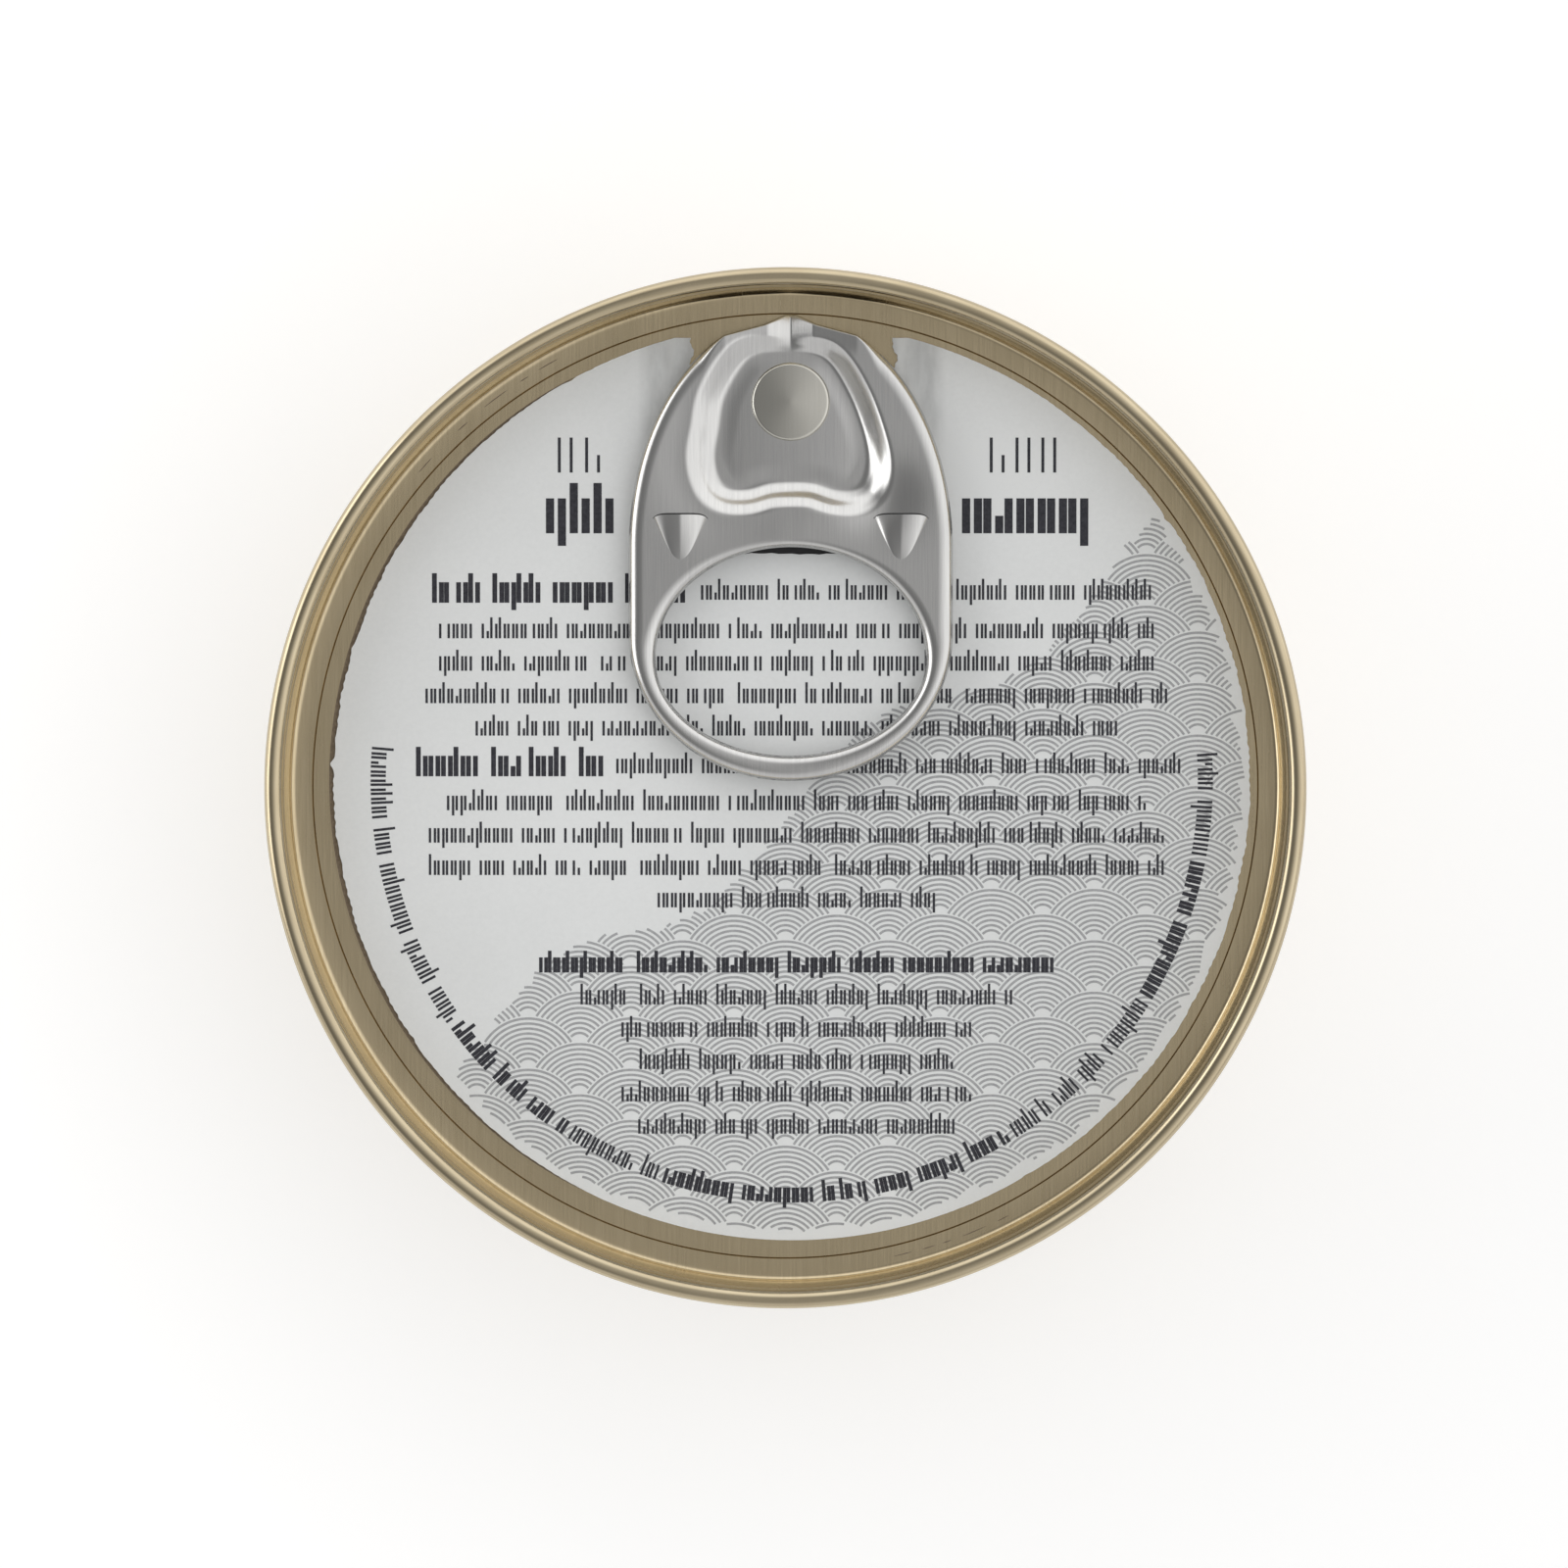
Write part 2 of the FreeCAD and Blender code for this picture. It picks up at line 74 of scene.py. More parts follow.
@dataclass
class Shell:
    """Faces of one piece, gathered from several surfaces, in millimetres."""

    points: list[Array] = field(default_factory=list)
    quads: list[Array] = field(default_factory=list)
    triangles: list[Array] = field(default_factory=list)
    count: int = 0

    def add_points(self, points: Array) -> int:
        """Append points and say where they start.

        Args:
            points: array of shape (n, 3).

        Returns:
            The index of the first of them.
        """
        start = self.count
        self.points.append(points.reshape(-1, 3))
        self.count += len(self.points[-1])
        return start

    def add_grid(self, grid: Array, wrap: bool = False, flip: bool = False) -> None:
        """Append a surface worked out on a grid.

        Args:
            grid: array of shape (rows, columns, 3); seen from outside, columns run to the left of rows.
            wrap: whether the last column joins the first.
            flip: whether to turn the faces round.
        """
        rows, columns = grid.shape[:2]
        start = self.add_points(grid)
        index = start + np.arange(rows * columns).reshape(rows, columns)
        if wrap:
            index = np.concatenate([index, index[:, :1]], axis=1)
        near, far = index[:-1], index[1:]
        quads = np.stack([near[:, :-1], far[:, :-1], far[:, 1:], near[:, 1:]], axis=-1).reshape(-1, 4)
        self.quads.append(quads[:, ::-1] if flip else quads)

    def add_fan(self, ring: Array, pole: int, flip: bool = False) -> None:
        """Close a ring of point indices onto one pole.

        Args:
            ring: indices of the ring's points, in order.
            pole: index of the pole's point.
            flip: whether to turn the faces round.
        """
        after = np.roll(ring, -1)
        triangles = np.stack([ring, after, np.full_like(ring, pole)], axis=-1)
        self.triangles.append(triangles[:, ::-1] if flip else triangles)

    def add_boxes(self, middles: Array, halves: Array, turns: Array, level: Level,
                  low: float, high: float) -> None:
        """Append thin upright-sided boxes, such as strokes of ink, on a surface.

        Args:
            middles: box middles in the plane, shape (n, 2).
            halves: half sizes along the box's own length and width, shape (n, 2).
            turns: angle of each box's length from +X, in radians, shape (n,).
            level: height of the surface at places in the plane.
            low: undersides' height over the surface.
            high: tops' height over the surface.
        """
        signs = np.array([[-1, -1], [1, -1], [1, 1], [-1, 1]])
        corners = signs[None] * halves[:, None]
        cosine, sine = np.cos(turns)[:, None], np.sin(turns)[:, None]
        across = middles[:, None, 0] + corners[..., 0] * cosine - corners[..., 1] * sine
        along = middles[:, None, 1] + corners[..., 0] * sine + corners[..., 1] * cosine
        surface = level(across, along)
        layers = [stacked(across, along, surface + rise) for rise in (low, high)]
        start = self.add_points(np.concatenate(layers, axis=1))
        walls = [(foot, (foot + 1) % 4, (foot + 1) % 4 + 4, foot + 4) for foot in range(4)]
        sides = np.array([(3, 2, 1, 0), (4, 5, 6, 7), *walls])
        self.quads.append((start + 8 * np.arange(len(middles))[:, None, None] + sides[None]).reshape(-1, 4))

    def add_ribbons(self, paths: Array, halves: Array, level: Level, low: float, high: float) -> None:
        """Append thin ribbons that follow paths on a surface, with closed ends.

        Each path point is moved sideways, both ways, by the half width along the path's own normal.

        Args:
            paths: places in the plane, shape (ribbons, points, 2).
            halves: half widths, shape (ribbons, points).
            level: height of the surface at places in the plane.
            low: undersides' height over the surface.
            high: tops' height over the surface.
        """
        ribbons, points = paths.shape[:2]
        ahead = np.gradient(paths, axis=1)
        ahead /= np.linalg.norm(ahead, axis=-1, keepdims=True)
        normal = stacked(-ahead[..., 1], ahead[..., 0]) * halves[..., None]
        right, left = paths - normal, paths + normal
        rings = [(right, low), (left, low), (left, high), (right, high)]
        corners = np.stack([
            stacked(side[..., 0], side[..., 1], level(side[..., 0], side[..., 1]) + rise)
            for side, rise in rings
        ], axis=2)
        start = self.add_points(corners)
        index = start + np.arange(ribbons * points * 4).reshape(ribbons, points, 4)
        near, far = index[:, :-1], index[:, 1:]
        around = np.roll(np.arange(4), -1)
        walls = np.stack([near, far, far[..., around], near[..., around]], axis=-1)
        self.quads.append(walls.reshape(-1, 4))
        self.quads.append(index[:, 0])
        self.quads.append(index[:, -1, ::-1])

    def weld(self) -> None:
        """Join points that share a place, so that neighbouring surfaces share their edges."""
        points = np.concatenate(self.points)
        _, first, target = np.unique(
            np.round(points, WELD_DECIMALS), axis=0, return_index=True, return_inverse=True,
        )
        target = target.ravel()
        self.points, self.count = [points[first]], len(first)
        self.quads = [target[quads] for quads in self.quads]
        self.triangles = [target[triangles] for triangles in self.triangles]

    def thicken(self, thickness: float) -> None:
        """Give an open upward-facing sheet of four-sided faces an underside and a rim.

        The rim stands on the edges that only one face uses.

        Args:
            thickness: how far below the sheet its underside is.
        """
        self.weld()
        quads = np.concatenate(self.quads)
        points = self.points[0]
        shift = self.add_points(points - (0.0, 0.0, thickness))
        edges = np.stack([quads, np.roll(quads, -1, axis=1)], axis=-1).reshape(-1, 2)
        code = edges.min(1) * self.count + edges.max(1)
        _, where, times = np.unique(code, return_inverse=True, return_counts=True)
        rim = edges[times[where.ravel()] == 1]
        self.quads.append(quads[:, ::-1] + shift)
        self.quads.append(np.stack([rim[:, 1], rim[:, 0], rim[:, 0] + shift, rim[:, 1] + shift], axis=-1))

    def to_object(self, name: str, *finishes: Material, sharp_degrees: float = 40.0) -> Piece:
        """Make the mesh and its object at the origin, smooth but for edges sharper than an angle.

        Args:
            name: the piece's name.
            finishes: its materials, the first on every face.
            sharp_degrees: angle between faces past which their edge shows as sharp.

        Returns:
            The new object, linked into the scene.
        """
        points = np.concatenate(self.points) * MM
        groups = [np.concatenate(group) for group in (self.quads, self.triangles) if group]
        corners = np.concatenate([group.ravel() for group in groups])
        sizes = np.concatenate([np.full(len(group), group.shape[1]) for group in groups])
        mesh = bpy.data.meshes.new(name)
        mesh.vertices.add(len(points))
        mesh.vertices.foreach_set("co", points.astype(np.float32).ravel())
        mesh.loops.add(len(corners))
        mesh.loops.foreach_set("vertex_index", corners.astype(np.int32))
        mesh.polygons.add(len(sizes))
        mesh.polygons.foreach_set("loop_start", (np.cumsum(sizes) - sizes).astype(np.int32))
        mesh.update(calc_edges=True)
        mesh.validate()
        mesh.polygons.foreach_set("use_smooth", np.ones(len(mesh.polygons), dtype=bool))
        mesh.set_sharp_from_angle(angle=math.radians(sharp_degrees))
        for finish in finishes:
            mesh.materials.append(finish)
        return new_object(name, mesh)


def new_object(name: str, data: bpy.types.ID) -> Piece:
    """Object that holds the given data, linked into the scene."""
    made = bpy.data.objects.new(name, data)
    bpy.context.scene.collection.objects.link(made)
    return made


def face_middles(piece: Piece) -> Array:
    """Middles of a piece's faces in millimetres, shape (3, n)."""
    middles = np.empty(3 * len(piece.data.polygons))
    piece.data.polygons.foreach_get("center", middles)
    return middles.reshape(-1, 3).T / MM


def smooth_step(value: Array, low: float, high: float) -> Array:
    """Cubic rise from 0 at low to 1 at high, flat at both ends.

    Args:
        value: where to work it out.
        low: where the rise starts.
        high: where it ends.

    Returns:
        The rise, between 0 and 1.
    """
    share = np.clip((value - low) / (high - low), 0.0, 1.0)
    return share * share * (3.0 - 2.0 * share)


def rounded_ramp(value: Array, rounding: float) -> Array:
    """Rise from 0 at 0 to 1 at 1, straight but for a parabola at each end.

    Args:
        value: where to work it out.
        rounding: length of each parabola.

    Returns:
        The rise, between 0 and 1.
    """
    slope = 1.0 / (1.0 - rounding)
    share = np.clip(value, 0.0, 1.0)
    start = slope * share ** 2 / (2 * rounding)
    end = 1.0 - slope * (1.0 - share) ** 2 / (2 * rounding)
    straight = slope * (share - rounding / 2)
    return np.where(share < rounding, start, np.where(share > 1.0 - rounding, end, straight))


def stacked(*parts: float | Array) -> Array:
    """Points from their parts, such as (x, y, z), of one shape or stretched to it."""
    return np.stack(np.broadcast_arrays(*parts), axis=-1)


def facing(direction: Array, heading: float) -> Array:
    """How far a direction in radians faces a heading in degrees: 1 along it, 0 away from it."""
    return 0.5 + 0.5 * np.cos(direction - math.radians(heading))


def full_turn(steps: int) -> Array:
    """Directions of evenly spaced steps round a whole turn, from 0."""
    return np.linspace(0.0, 2 * math.pi, steps, endpoint=False)


def oval(turns: Array, across: float | Array, along: float | Array | None = None) -> Array:
    """Points of an oval, (across x cos a, along x sin a), or of a circle.

    Args:
        turns: the angles a, in radians.
        across: half width of the oval, or radius of the circle.
        along: half length of the oval, if it isn't a circle.

    Returns:
        Array of points, shape (..., 2).
    """
    return stacked(across * np.cos(turns), (across if along is None else along) * np.sin(turns))


def rounded_section(corners: list[tuple[float, ...]], arc_steps: int = 8) -> Array:
    """Points along a section in (radius, height) whose corners are rounded by tangent arcs.

    Each arc's points are its middle plus its radius in directions turned evenly from one tangent point to
    the other.

    Args:
        corners: (radius, height) or (radius, height, rounding) of each corner, from first to last.
        arc_steps: number of steps along each arc.

    Returns:
        Array of shape (n, 2).
    """
    places = np.array([corner[:2] for corner in corners], dtype=float)
    stops: list[Array] = [places[:1]]
    for before, here, after, corner in zip(places, places[1:], places[2:], corners[1:]):
        rounding = corner[2] if len(corner) > 2 else 0.0
        if rounding == 0.0:
            stops.append(here[None])
            continue
        back = (before - here) / np.linalg.norm(before - here)
        ahead = (after - here) / np.linalg.norm(after - here)
        half = math.acos(float(np.clip(back @ ahead, -1.0, 1.0))) / 2
        bisector = (back + ahead) / np.linalg.norm(back + ahead)
        middle = here + bisector * rounding / math.sin(half)
        start = here + back * rounding / math.tan(half) - middle
        end = here + ahead * rounding / math.tan(half) - middle
        first = math.atan2(start[1], start[0])
        turn = math.remainder(math.atan2(end[1], end[0]) - first, 2 * math.pi)
        angles = first + turn * np.linspace(0.0, 1.0, arc_steps + 1)
        stops.append(middle + oval(angles, rounding))
    stops.append(places[-1:])
    return np.concatenate(stops)


def spin(shell: Shell, section: Array, around: int, middle: tuple[float, float] = (0.0, 0.0)) -> None:
    """Carry a section that starts and ends on the axis round that axis, and close both poles.

    A point at radius r and turn a lands at (r cos a, r sin a).

    Args:
        shell: gathers the faces.
        section: (radius, height) points from pole to pole, underside last.
        around: number of steps round the axis.
        middle: where the axis stands in the plane.
    """
    angles = full_turn(around)
    radius, height = section[1:-1, 0][:, None], section[1:-1, 1][:, None]
    start = shell.count
    across = middle[0] + radius * np.cos(angles)
    along = middle[1] + radius * np.sin(angles)
    shell.add_grid(stacked(across, along, height), wrap=True)
    rows = len(section) - 2
    pole = shell.add_points(np.array([(*middle, section[0, 1]), (*middle, section[-1, 1])]))
    first_ring = start + np.arange(around)
    shell.add_fan(first_ring, pole)
    shell.add_fan(first_ring + (rows - 1) * around, pole + 1, flip=True)


def even_loop(corners: Array, step: float) -> Array:
    """Points along a closed chain about a step apart.

    The chain's running length is the sum of its segments, and each new point is found on it by length.

    Args:
        corners: corners of the chain, shape (n, 2).
        step: spacing of the new points.

    Returns:
        Array of points.
    """
    closed = np.concatenate([corners, corners[:1]])
    length = np.concatenate([[0.0], np.cumsum(np.hypot(*np.diff(closed, axis=0).T))])
    places = np.linspace(0.0, length[-1], round(length[-1] / step), endpoint=False)
    return np.stack([np.interp(places, length, closed[:, axis]) for axis in (0, 1)], axis=-1)


def reach_towards(loop: Array, middle: tuple[float, float], turns: Array) -> Array:
    """Distance from a point to the loop round it, in each direction.

    The loop can be seen whole from the point, so each direction meets it once, between two of its corners.

    Args:
        loop: closed chain round the point.
        middle: the point.
        turns: directions in radians.

    Returns:
        One distance for each direction.
    """
    offset = loop - middle
    angle = np.arctan2(offset[:, 1], offset[:, 0])
    order = np.argsort(angle)
    return np.interp(turns, angle[order], np.hypot(*offset[order].T), period=2 * math.pi)


def quarter_oval(gap: Array, roll: Array) -> Array:
    """How far below the top a rolled edge is at a distance from it: a quarter oval from 1 down to 0."""
    return 1 - np.sqrt(1 - (1 - np.clip(gap / roll, 0.0, 1.0)) ** 2)


def distance_to_loop(points: Array, loop: Array) -> Array:
    """Shortest distance from each point to a closed chain of straight segments.

    Each point is projected onto every segment, and the share along it is held between 0 and 1.

    Args:
        points: array of shape (n, 2).
        loop: corners of the chain, shape (m, 2).

    Returns:
        Array of n distances.
    """
    spans = np.roll(loop, -1, axis=0) - loop
    lengths = np.maximum((spans ** 2).sum(-1), NO_LENGTH)
    result = np.empty(len(points))
    for chunk in np.array_split(np.arange(len(points)), max(1, len(points) // DISTANCE_CHUNK)):
        offset = points[chunk, None] - loop[None]
        share = np.clip((offset * spans).sum(-1) / lengths, 0.0, 1.0)
        gap = offset - share[..., None] * spans
        result[chunk] = np.sqrt((gap ** 2).sum(-1).min(-1))
    return result


# Finishes

class Grain(Enum):
    """Which way the fine lines of a metal run."""

    ALONG_Y = "rolled sheet"
    ROUND_Z = "turned or drawn"


@dataclass
class NodeBench:
    """Short calls for wiring one material's nodes."""

    tree: bpy.types.NodeTree

    def add(self, kind: str, **values: object) -> Node:
        """Add a node and set its properties, and its inputs by name where a key starts with a capital.

        Args:
            kind: Blender's node type name.
            values: properties or inputs to set.

        Returns:
            The new node.
        """
        node = self.tree.nodes.new(kind)
        for key, value in values.items():
            if key[0].isupper():
                node.inputs[key.replace("_", " ")].default_value = value
            else:
                setattr(node, key, value)
        return node

    def link(self, source: Socket, target: Socket) -> None:
        """Join an output to an input."""
        self.tree.links.new(source, target)

    def feed(self, node: Node, values: dict[int, object]) -> None:
        """Link or set a node's inputs.

        Args:
            node: the node.
            values: socket or plain value for each input, by its index.
        """
        for index, value in values.items():
            if isinstance(value, Socket):
                self.link(value, node.inputs[index])
            else:
                node.inputs[index].default_value = value

    def math(self, operation: str, first: object, second: object = 0.0) -> Socket:
        """Add a Math node fed by sockets or numbers.

        Args:
            operation: the Math node's operation.
            first: socket or number.
            second: socket or number.

        Returns:
            The node's output.
        """
        node = self.add("ShaderNodeMath", operation=operation)
        self.feed(node, {0: first, 1: second})
        return node.outputs[0]

    def mix(self, share: Socket, first: object, second: object) -> Socket:
        """Mix two colours.

        Args:
            share: how much of the second there is.
            first: socket or colour.
            second: socket or colour.

        Returns:
            The mixed colour.
        """
        node = self.add("ShaderNodeMix", data_type="RGBA")
        self.feed(node, {0: share, 6: first, 7: second})
        return node.outputs[2]

    def place_parts(self, kind: str) -> list[Socket]:
        """The three parts of the texture coordinates of a kind."""
        split = self.add("ShaderNodeSeparateXYZ")
        self.link(self.add("ShaderNodeTexCoord").outputs[kind], split.inputs["Vector"])
        return list(split.outputs)

    def scaled_place(self, scale: Colour) -> Socket:
        """Object coordinates stretched by scale, in cycles per metre."""
        place = self.add("ShaderNodeTexCoord")
        mapping = self.add("ShaderNodeMapping", Scale=scale)
        self.link(place.outputs["Object"], mapping.inputs["Vector"])
        return mapping.outputs["Vector"]

    def noise(self, place: Socket, detail: float, roughness: float) -> Socket:
        """Smooth noise at scale 1 over the given coordinates.

        Args:
            place: coordinates.
            detail: number of finer layers.
            roughness: how strong the finer layers are.

        Returns:
            The noise, about 0.5 on average.
        """
        node = self.add("ShaderNodeTexNoise", Scale=1.0, Detail=detail, Roughness=roughness)
        self.link(place, node.inputs["Vector"])
        return node.outputs["Fac"]

    def ramp(self, share: Socket, stops: list[tuple[float, Colour]]) -> Socket:
        """Colour ramp over share.

        Args:
            share: value between 0 and 1.
            stops: (position, colour) pairs in order.

        Returns:
            The colour.
        """
        node = self.add("ShaderNodeValToRGB")
        elements = node.color_ramp.elements
        while len(elements) < len(stops):
            elements.new(1.0)
        for element, (position, colour) in zip(elements, stops):
            element.position = position
            element.color = (*colour, 1.0)
        self.link(share, node.inputs["Fac"])
        return node.outputs["Color"]

    def remap(self, value: Socket, low: float, high: float, new_low: float, new_high: float) -> Socket:
        """Straight-line change of range, held within its ends.

        Args:
            value: what to change.
            low: value that becomes new_low.
            high: value that becomes new_high.
            new_low: low end of the result.
            new_high: high end of the result.

        Returns:
            The changed value.
        """
        node = self.add("ShaderNodeMapRange")
        self.link(value, node.inputs["Value"])
        keys = ("From Min", "From Max", "To Min", "To Max")
        for key, number in zip(keys, (low, high, new_low, new_high)):
            node.inputs[key].default_value = number
        return node.outputs["Result"]

    def blend(self, first: Socket, second: Socket, share: float) -> Socket:
        """Weighted mean of two values.

        Args:
            first: value that counts by share.
            second: value that counts by the rest.
            share: weight of the first.

        Returns:
            The mean.
        """
        parts = self.math("MULTIPLY", first, share), self.math("MULTIPLY", second, 1.0 - share)
        return self.math("ADD", *parts)

    def relief(self, shader: Node, height: Socket, strength: float) -> None:
        """Let a field bump the shader's surface.

        Args:
            shader: the Principled node.
            height: the field.
            strength: how strongly.
        """
        bump = self.add("ShaderNodeBump", Strength=strength, Distance=RELIEF_DEPTH * MM)
        self.link(height, bump.inputs["Height"])
        self.link(bump.outputs["Normal"], shader.inputs["Normal"])


def new_material(name: str) -> tuple[Material, NodeBench, Node]:
    """Empty material with a Principled shader on its output.

    Args:
        name: the material's name.

    Returns:
        The material, a bench for its nodes and the Principled node.
    """
    material = bpy.data.materials.new(name)
    material.use_nodes = True
    bench = NodeBench(material.node_tree)
    bench.tree.nodes.clear()
    shader = bench.add("ShaderNodeBsdfPrincipled")
    output = bench.add("ShaderNodeOutputMaterial")
    bench.link(shader.outputs["BSDF"], output.inputs["Surface"])
    return material, bench, shader


@dataclass(frozen=True)
class Finish:
    """What every finish has.

    Attributes:
        name: the material's name.
        light: colour of its lightest spots.
        dark: colour of its darkest spots.
        roughness: average roughness.
    """

    name: str
    light: Colour
    dark: Colour
    roughness: float = 0.6


@dataclass(frozen=True)
class Metal(Finish):
    """Aluminium sheet, bare or under lacquer, with fine grain lines and faint stains.

    Attributes:
        grain: which way the lines run.
        grain_pitch: width of a fine line, in millimetres.
        grain_length: length of a fine line, in millimetres.
        relief: strength of the lines' bump.
        line_share: how much the lines count in the tone, against the cloudy stains.
        stain_scale: how close together the stains are, in cycles per metre.
        roughness_swing: how far the roughness moves from its average.
    """

    grain: Grain = Grain.ALONG_Y
    grain_pitch: float = 0.12
    grain_length: float = 4.0
    relief: float = 0.12
    line_share: float = 0.65
    stain_scale: Colour = (220.0, 130.0, 220.0)
    roughness_swing: float = 0.05

    def build(self) -> Material:
        """Wire the finish: lines and cloudy stains move the colour, the roughness and the bump."""
        material, bench, shader = new_material(self.name)
        fine, coarse = 1.0 / (self.grain_pitch * MM), 1.0 / (self.grain_length * MM)
        if self.grain is Grain.ALONG_Y:
            lines = bench.noise(bench.scaled_place((fine, coarse, coarse)), 4.0, 0.6)
        else:
            lines = bench.noise(bench.scaled_place((coarse, coarse, fine)), 3.0, 0.5)
        stains = bench.noise(bench.scaled_place(self.stain_scale), 3.0, 0.5)
        tone = bench.blend(lines, stains, self.line_share)
        colour = bench.ramp(tone, [(0.32, self.dark), (0.68, self.light)])
        bench.link(colour, shader.inputs["Base Color"])
        rougher, smoother = self.roughness + self.roughness_swing, self.roughness - self.roughness_swing
        bench.link(bench.remap(tone, 0.3, 0.7, rougher, smoother), shader.inputs["Roughness"])
        shader.inputs["Metallic"].default_value = 1.0
        bench.relief(shader, lines, self.relief)
        return material


@dataclass(frozen=True)
class Paper(Finish):
    """Matt label paper with faint fibres.

    Attributes:
        stain: share of its brightness left in the darker band beside the slot.
        stain_middle_x: middle line of the slot, in millimetres.
        stain_reach: how far from there the stain reaches.
        stain_scale: how close together the stain's streaks are, in cycles per metre.
        stain_edge: width of its soft edge.
        stain_start_y: where the stain starts to show.
        stain_rise: length over which it grows to its full strength.
        fibre_scale: how close together the fibres are, in cycles per metre.
        cloud_scale: the same of the greyer patches.
        fibre_share: how much the fibres count in the tone.
        relief: strength of the fibres' bump.
    """

    stain: float = 0.72
    stain_middle_x: float = 0.45
    stain_reach: float = 10.2
    stain_edge: float = 0.9
    stain_start_y: float = 20.0
    stain_rise: float = 4.0
    stain_scale: Colour = (900.0, 260.0, 500.0)
    fibre_scale: float = 3500.0
    cloud_scale: float = 60.0
    fibre_share: float = 0.35
    relief: float = 0.12

    def stain_share(self, bench: NodeBench) -> Socket:
        """How bright the paper is, from the darker band's share to 1, uneven along drawn-out streaks.

        Args:
            bench: for the material's nodes.

        Returns:
            The factor on the paper's colour.
        """
        across, along, _ = bench.place_parts("Object")
        aside = bench.math("ABSOLUTE", bench.math("SUBTRACT", across, self.stain_middle_x * MM))
        reach = self.stain_reach * MM
        near = bench.remap(aside, reach, reach - self.stain_edge * MM, 0.0, 1.0)
        start = self.stain_start_y * MM
        high = bench.remap(along, start, start + self.stain_rise * MM, 0.0, 1.0)
        streaks = bench.noise(bench.scaled_place(self.stain_scale), 3.0, 0.6)
        uneven = bench.remap(streaks, 0.3, 0.7, 0.35, 1.0)
        band_strength = bench.math("MULTIPLY", bench.math("MULTIPLY", near, high), uneven)
        return bench.remap(band_strength, 0.0, 1.0, 1.0, self.stain)

    def build(self) -> Material:
        """Wire the finish: fibres give a faint mottle and a fine bump, and a darker band lies beside the
        slot.
        """
        material, bench, shader = new_material(self.name)
        fibres = bench.noise(bench.scaled_place((self.fibre_scale,) * 3), 4.0, 0.6)
        clouds = bench.noise(bench.scaled_place((self.cloud_scale,) * 3), 3.0, 0.5)
        tone = bench.blend(fibres, clouds, self.fibre_share)
        colour = bench.ramp(tone, [(0.25, self.dark), (0.6, self.light)])
        stained = bench.add("ShaderNodeVectorMath", operation="SCALE")
        bench.link(colour, stained.inputs[0])
        bench.link(self.stain_share(bench), stained.inputs["Scale"])
        bench.link(stained.outputs["Vector"], shader.inputs["Base Color"])
        shader.inputs["Roughness"].default_value = self.roughness
        bench.relief(shader, fibres, self.relief)
        return material


@dataclass(frozen=True)
class Ink(Finish):
    """Printing ink, a little uneven: light where it is thin, dark where it is thick.

    Attributes:
        mottle_scale: how close together its uneven spots are, in cycles per metre.
    """

    mottle_scale: float = 5000.0

    def build(self) -> Material:
        """Wire the finish: fine noise moves the colour from thick to thin."""
        material, bench, shader = new_material(self.name)
        spread = bench.noise(bench.scaled_place((self.mottle_scale,) * 3), 3.0, 0.6)
        bench.link(bench.ramp(spread, [(0.35, self.dark), (0.75, self.light)]), shader.inputs["Base Color"])
        shader.inputs["Roughness"].default_value = self.roughness
        return material


# Body

@dataclass
class TinBody:
    """Drawn body: straight wall, drawn-in stacking foot, recessed and beaded base.

    Attributes:
        around: steps round the axis.
        gap_under_end: space between the filling's flat top and the end's panel.
        foot_bend: rounding where the wall draws in.
        foot_round: rounding at the foot's outer edge.
        bead_flat: share of the bead's width that is flat, to each side of its middle.
    """

    around: int = 384
    gap_under_end: float = 0.02
    foot_height: float = 3.2
    foot_slope: float = 1.0
    foot_inset: float = 0.8
    foot_bend: float = 0.9
    foot_round: float = 1.4
    foot_width: float = 1.6
    recess: float = 0.9
    recess_slope: float = 1.3
    recess_bend: float = 0.5
    bead_radius: float = 21.0
    bead_width: float = 2.4
    bead_flat: float = 0.17
    bead_depth: float = 0.4
    bead_bend: float = 0.4
    sheet: float = 0.25

    def build(self, finish: Material, base_finish: Material) -> Piece:
        """Make the body from the size of its node.

        Args:
            finish: the lacquered metal of the drawn wall.
            base_finish: the lacquered sheet, which keeps its straight grain in the base.

        Returns:
            The finished piece.
        """
        low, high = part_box("tin_body")
        radius, top = (high.x - low.x) / 2 / MM, high.z / MM
        foot = radius - self.foot_inset
        recess_edge = foot - self.foot_round - self.foot_width - self.recess_slope
        shares = (0.5, self.bead_flat, -self.bead_flat, -0.5)
        lifts = (0.0, self.bead_depth, self.bead_depth, 0.0)
        bead = [
            (self.bead_radius + share * self.bead_width, self.recess + lift, self.bead_bend)
            for share, lift in zip(shares, lifts)
        ]
        under_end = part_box("lid")[0].z / MM - self.gap_under_end
        section = rounded_section([
            (0.0, under_end),
            (radius - self.sheet, under_end),
            (radius - self.sheet, top),
            (radius, top),
            (radius, self.foot_height + self.foot_slope, self.foot_bend),
            (foot, self.foot_height, self.foot_bend),
            (foot, 0.0, self.foot_round),
            (recess_edge + self.recess_slope, 0.0, self.recess_bend),
            (recess_edge, self.recess, self.recess_bend),
            *bead,
            (0.0, self.recess),
        ])
        shell = Shell()
        spin(shell, section, self.around)
        piece = shell.to_object("lacquered_body_shell", finish, base_finish)
        across, along, height = face_middles(piece)
        is_base = (np.hypot(across, along) < foot - self.foot_round) & (height < self.foot_height)
        piece.data.polygons.foreach_set("material_index", is_base.astype(np.int32))
        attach(piece, "root")
        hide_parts("tin_body")
        return piece


# End and rivet

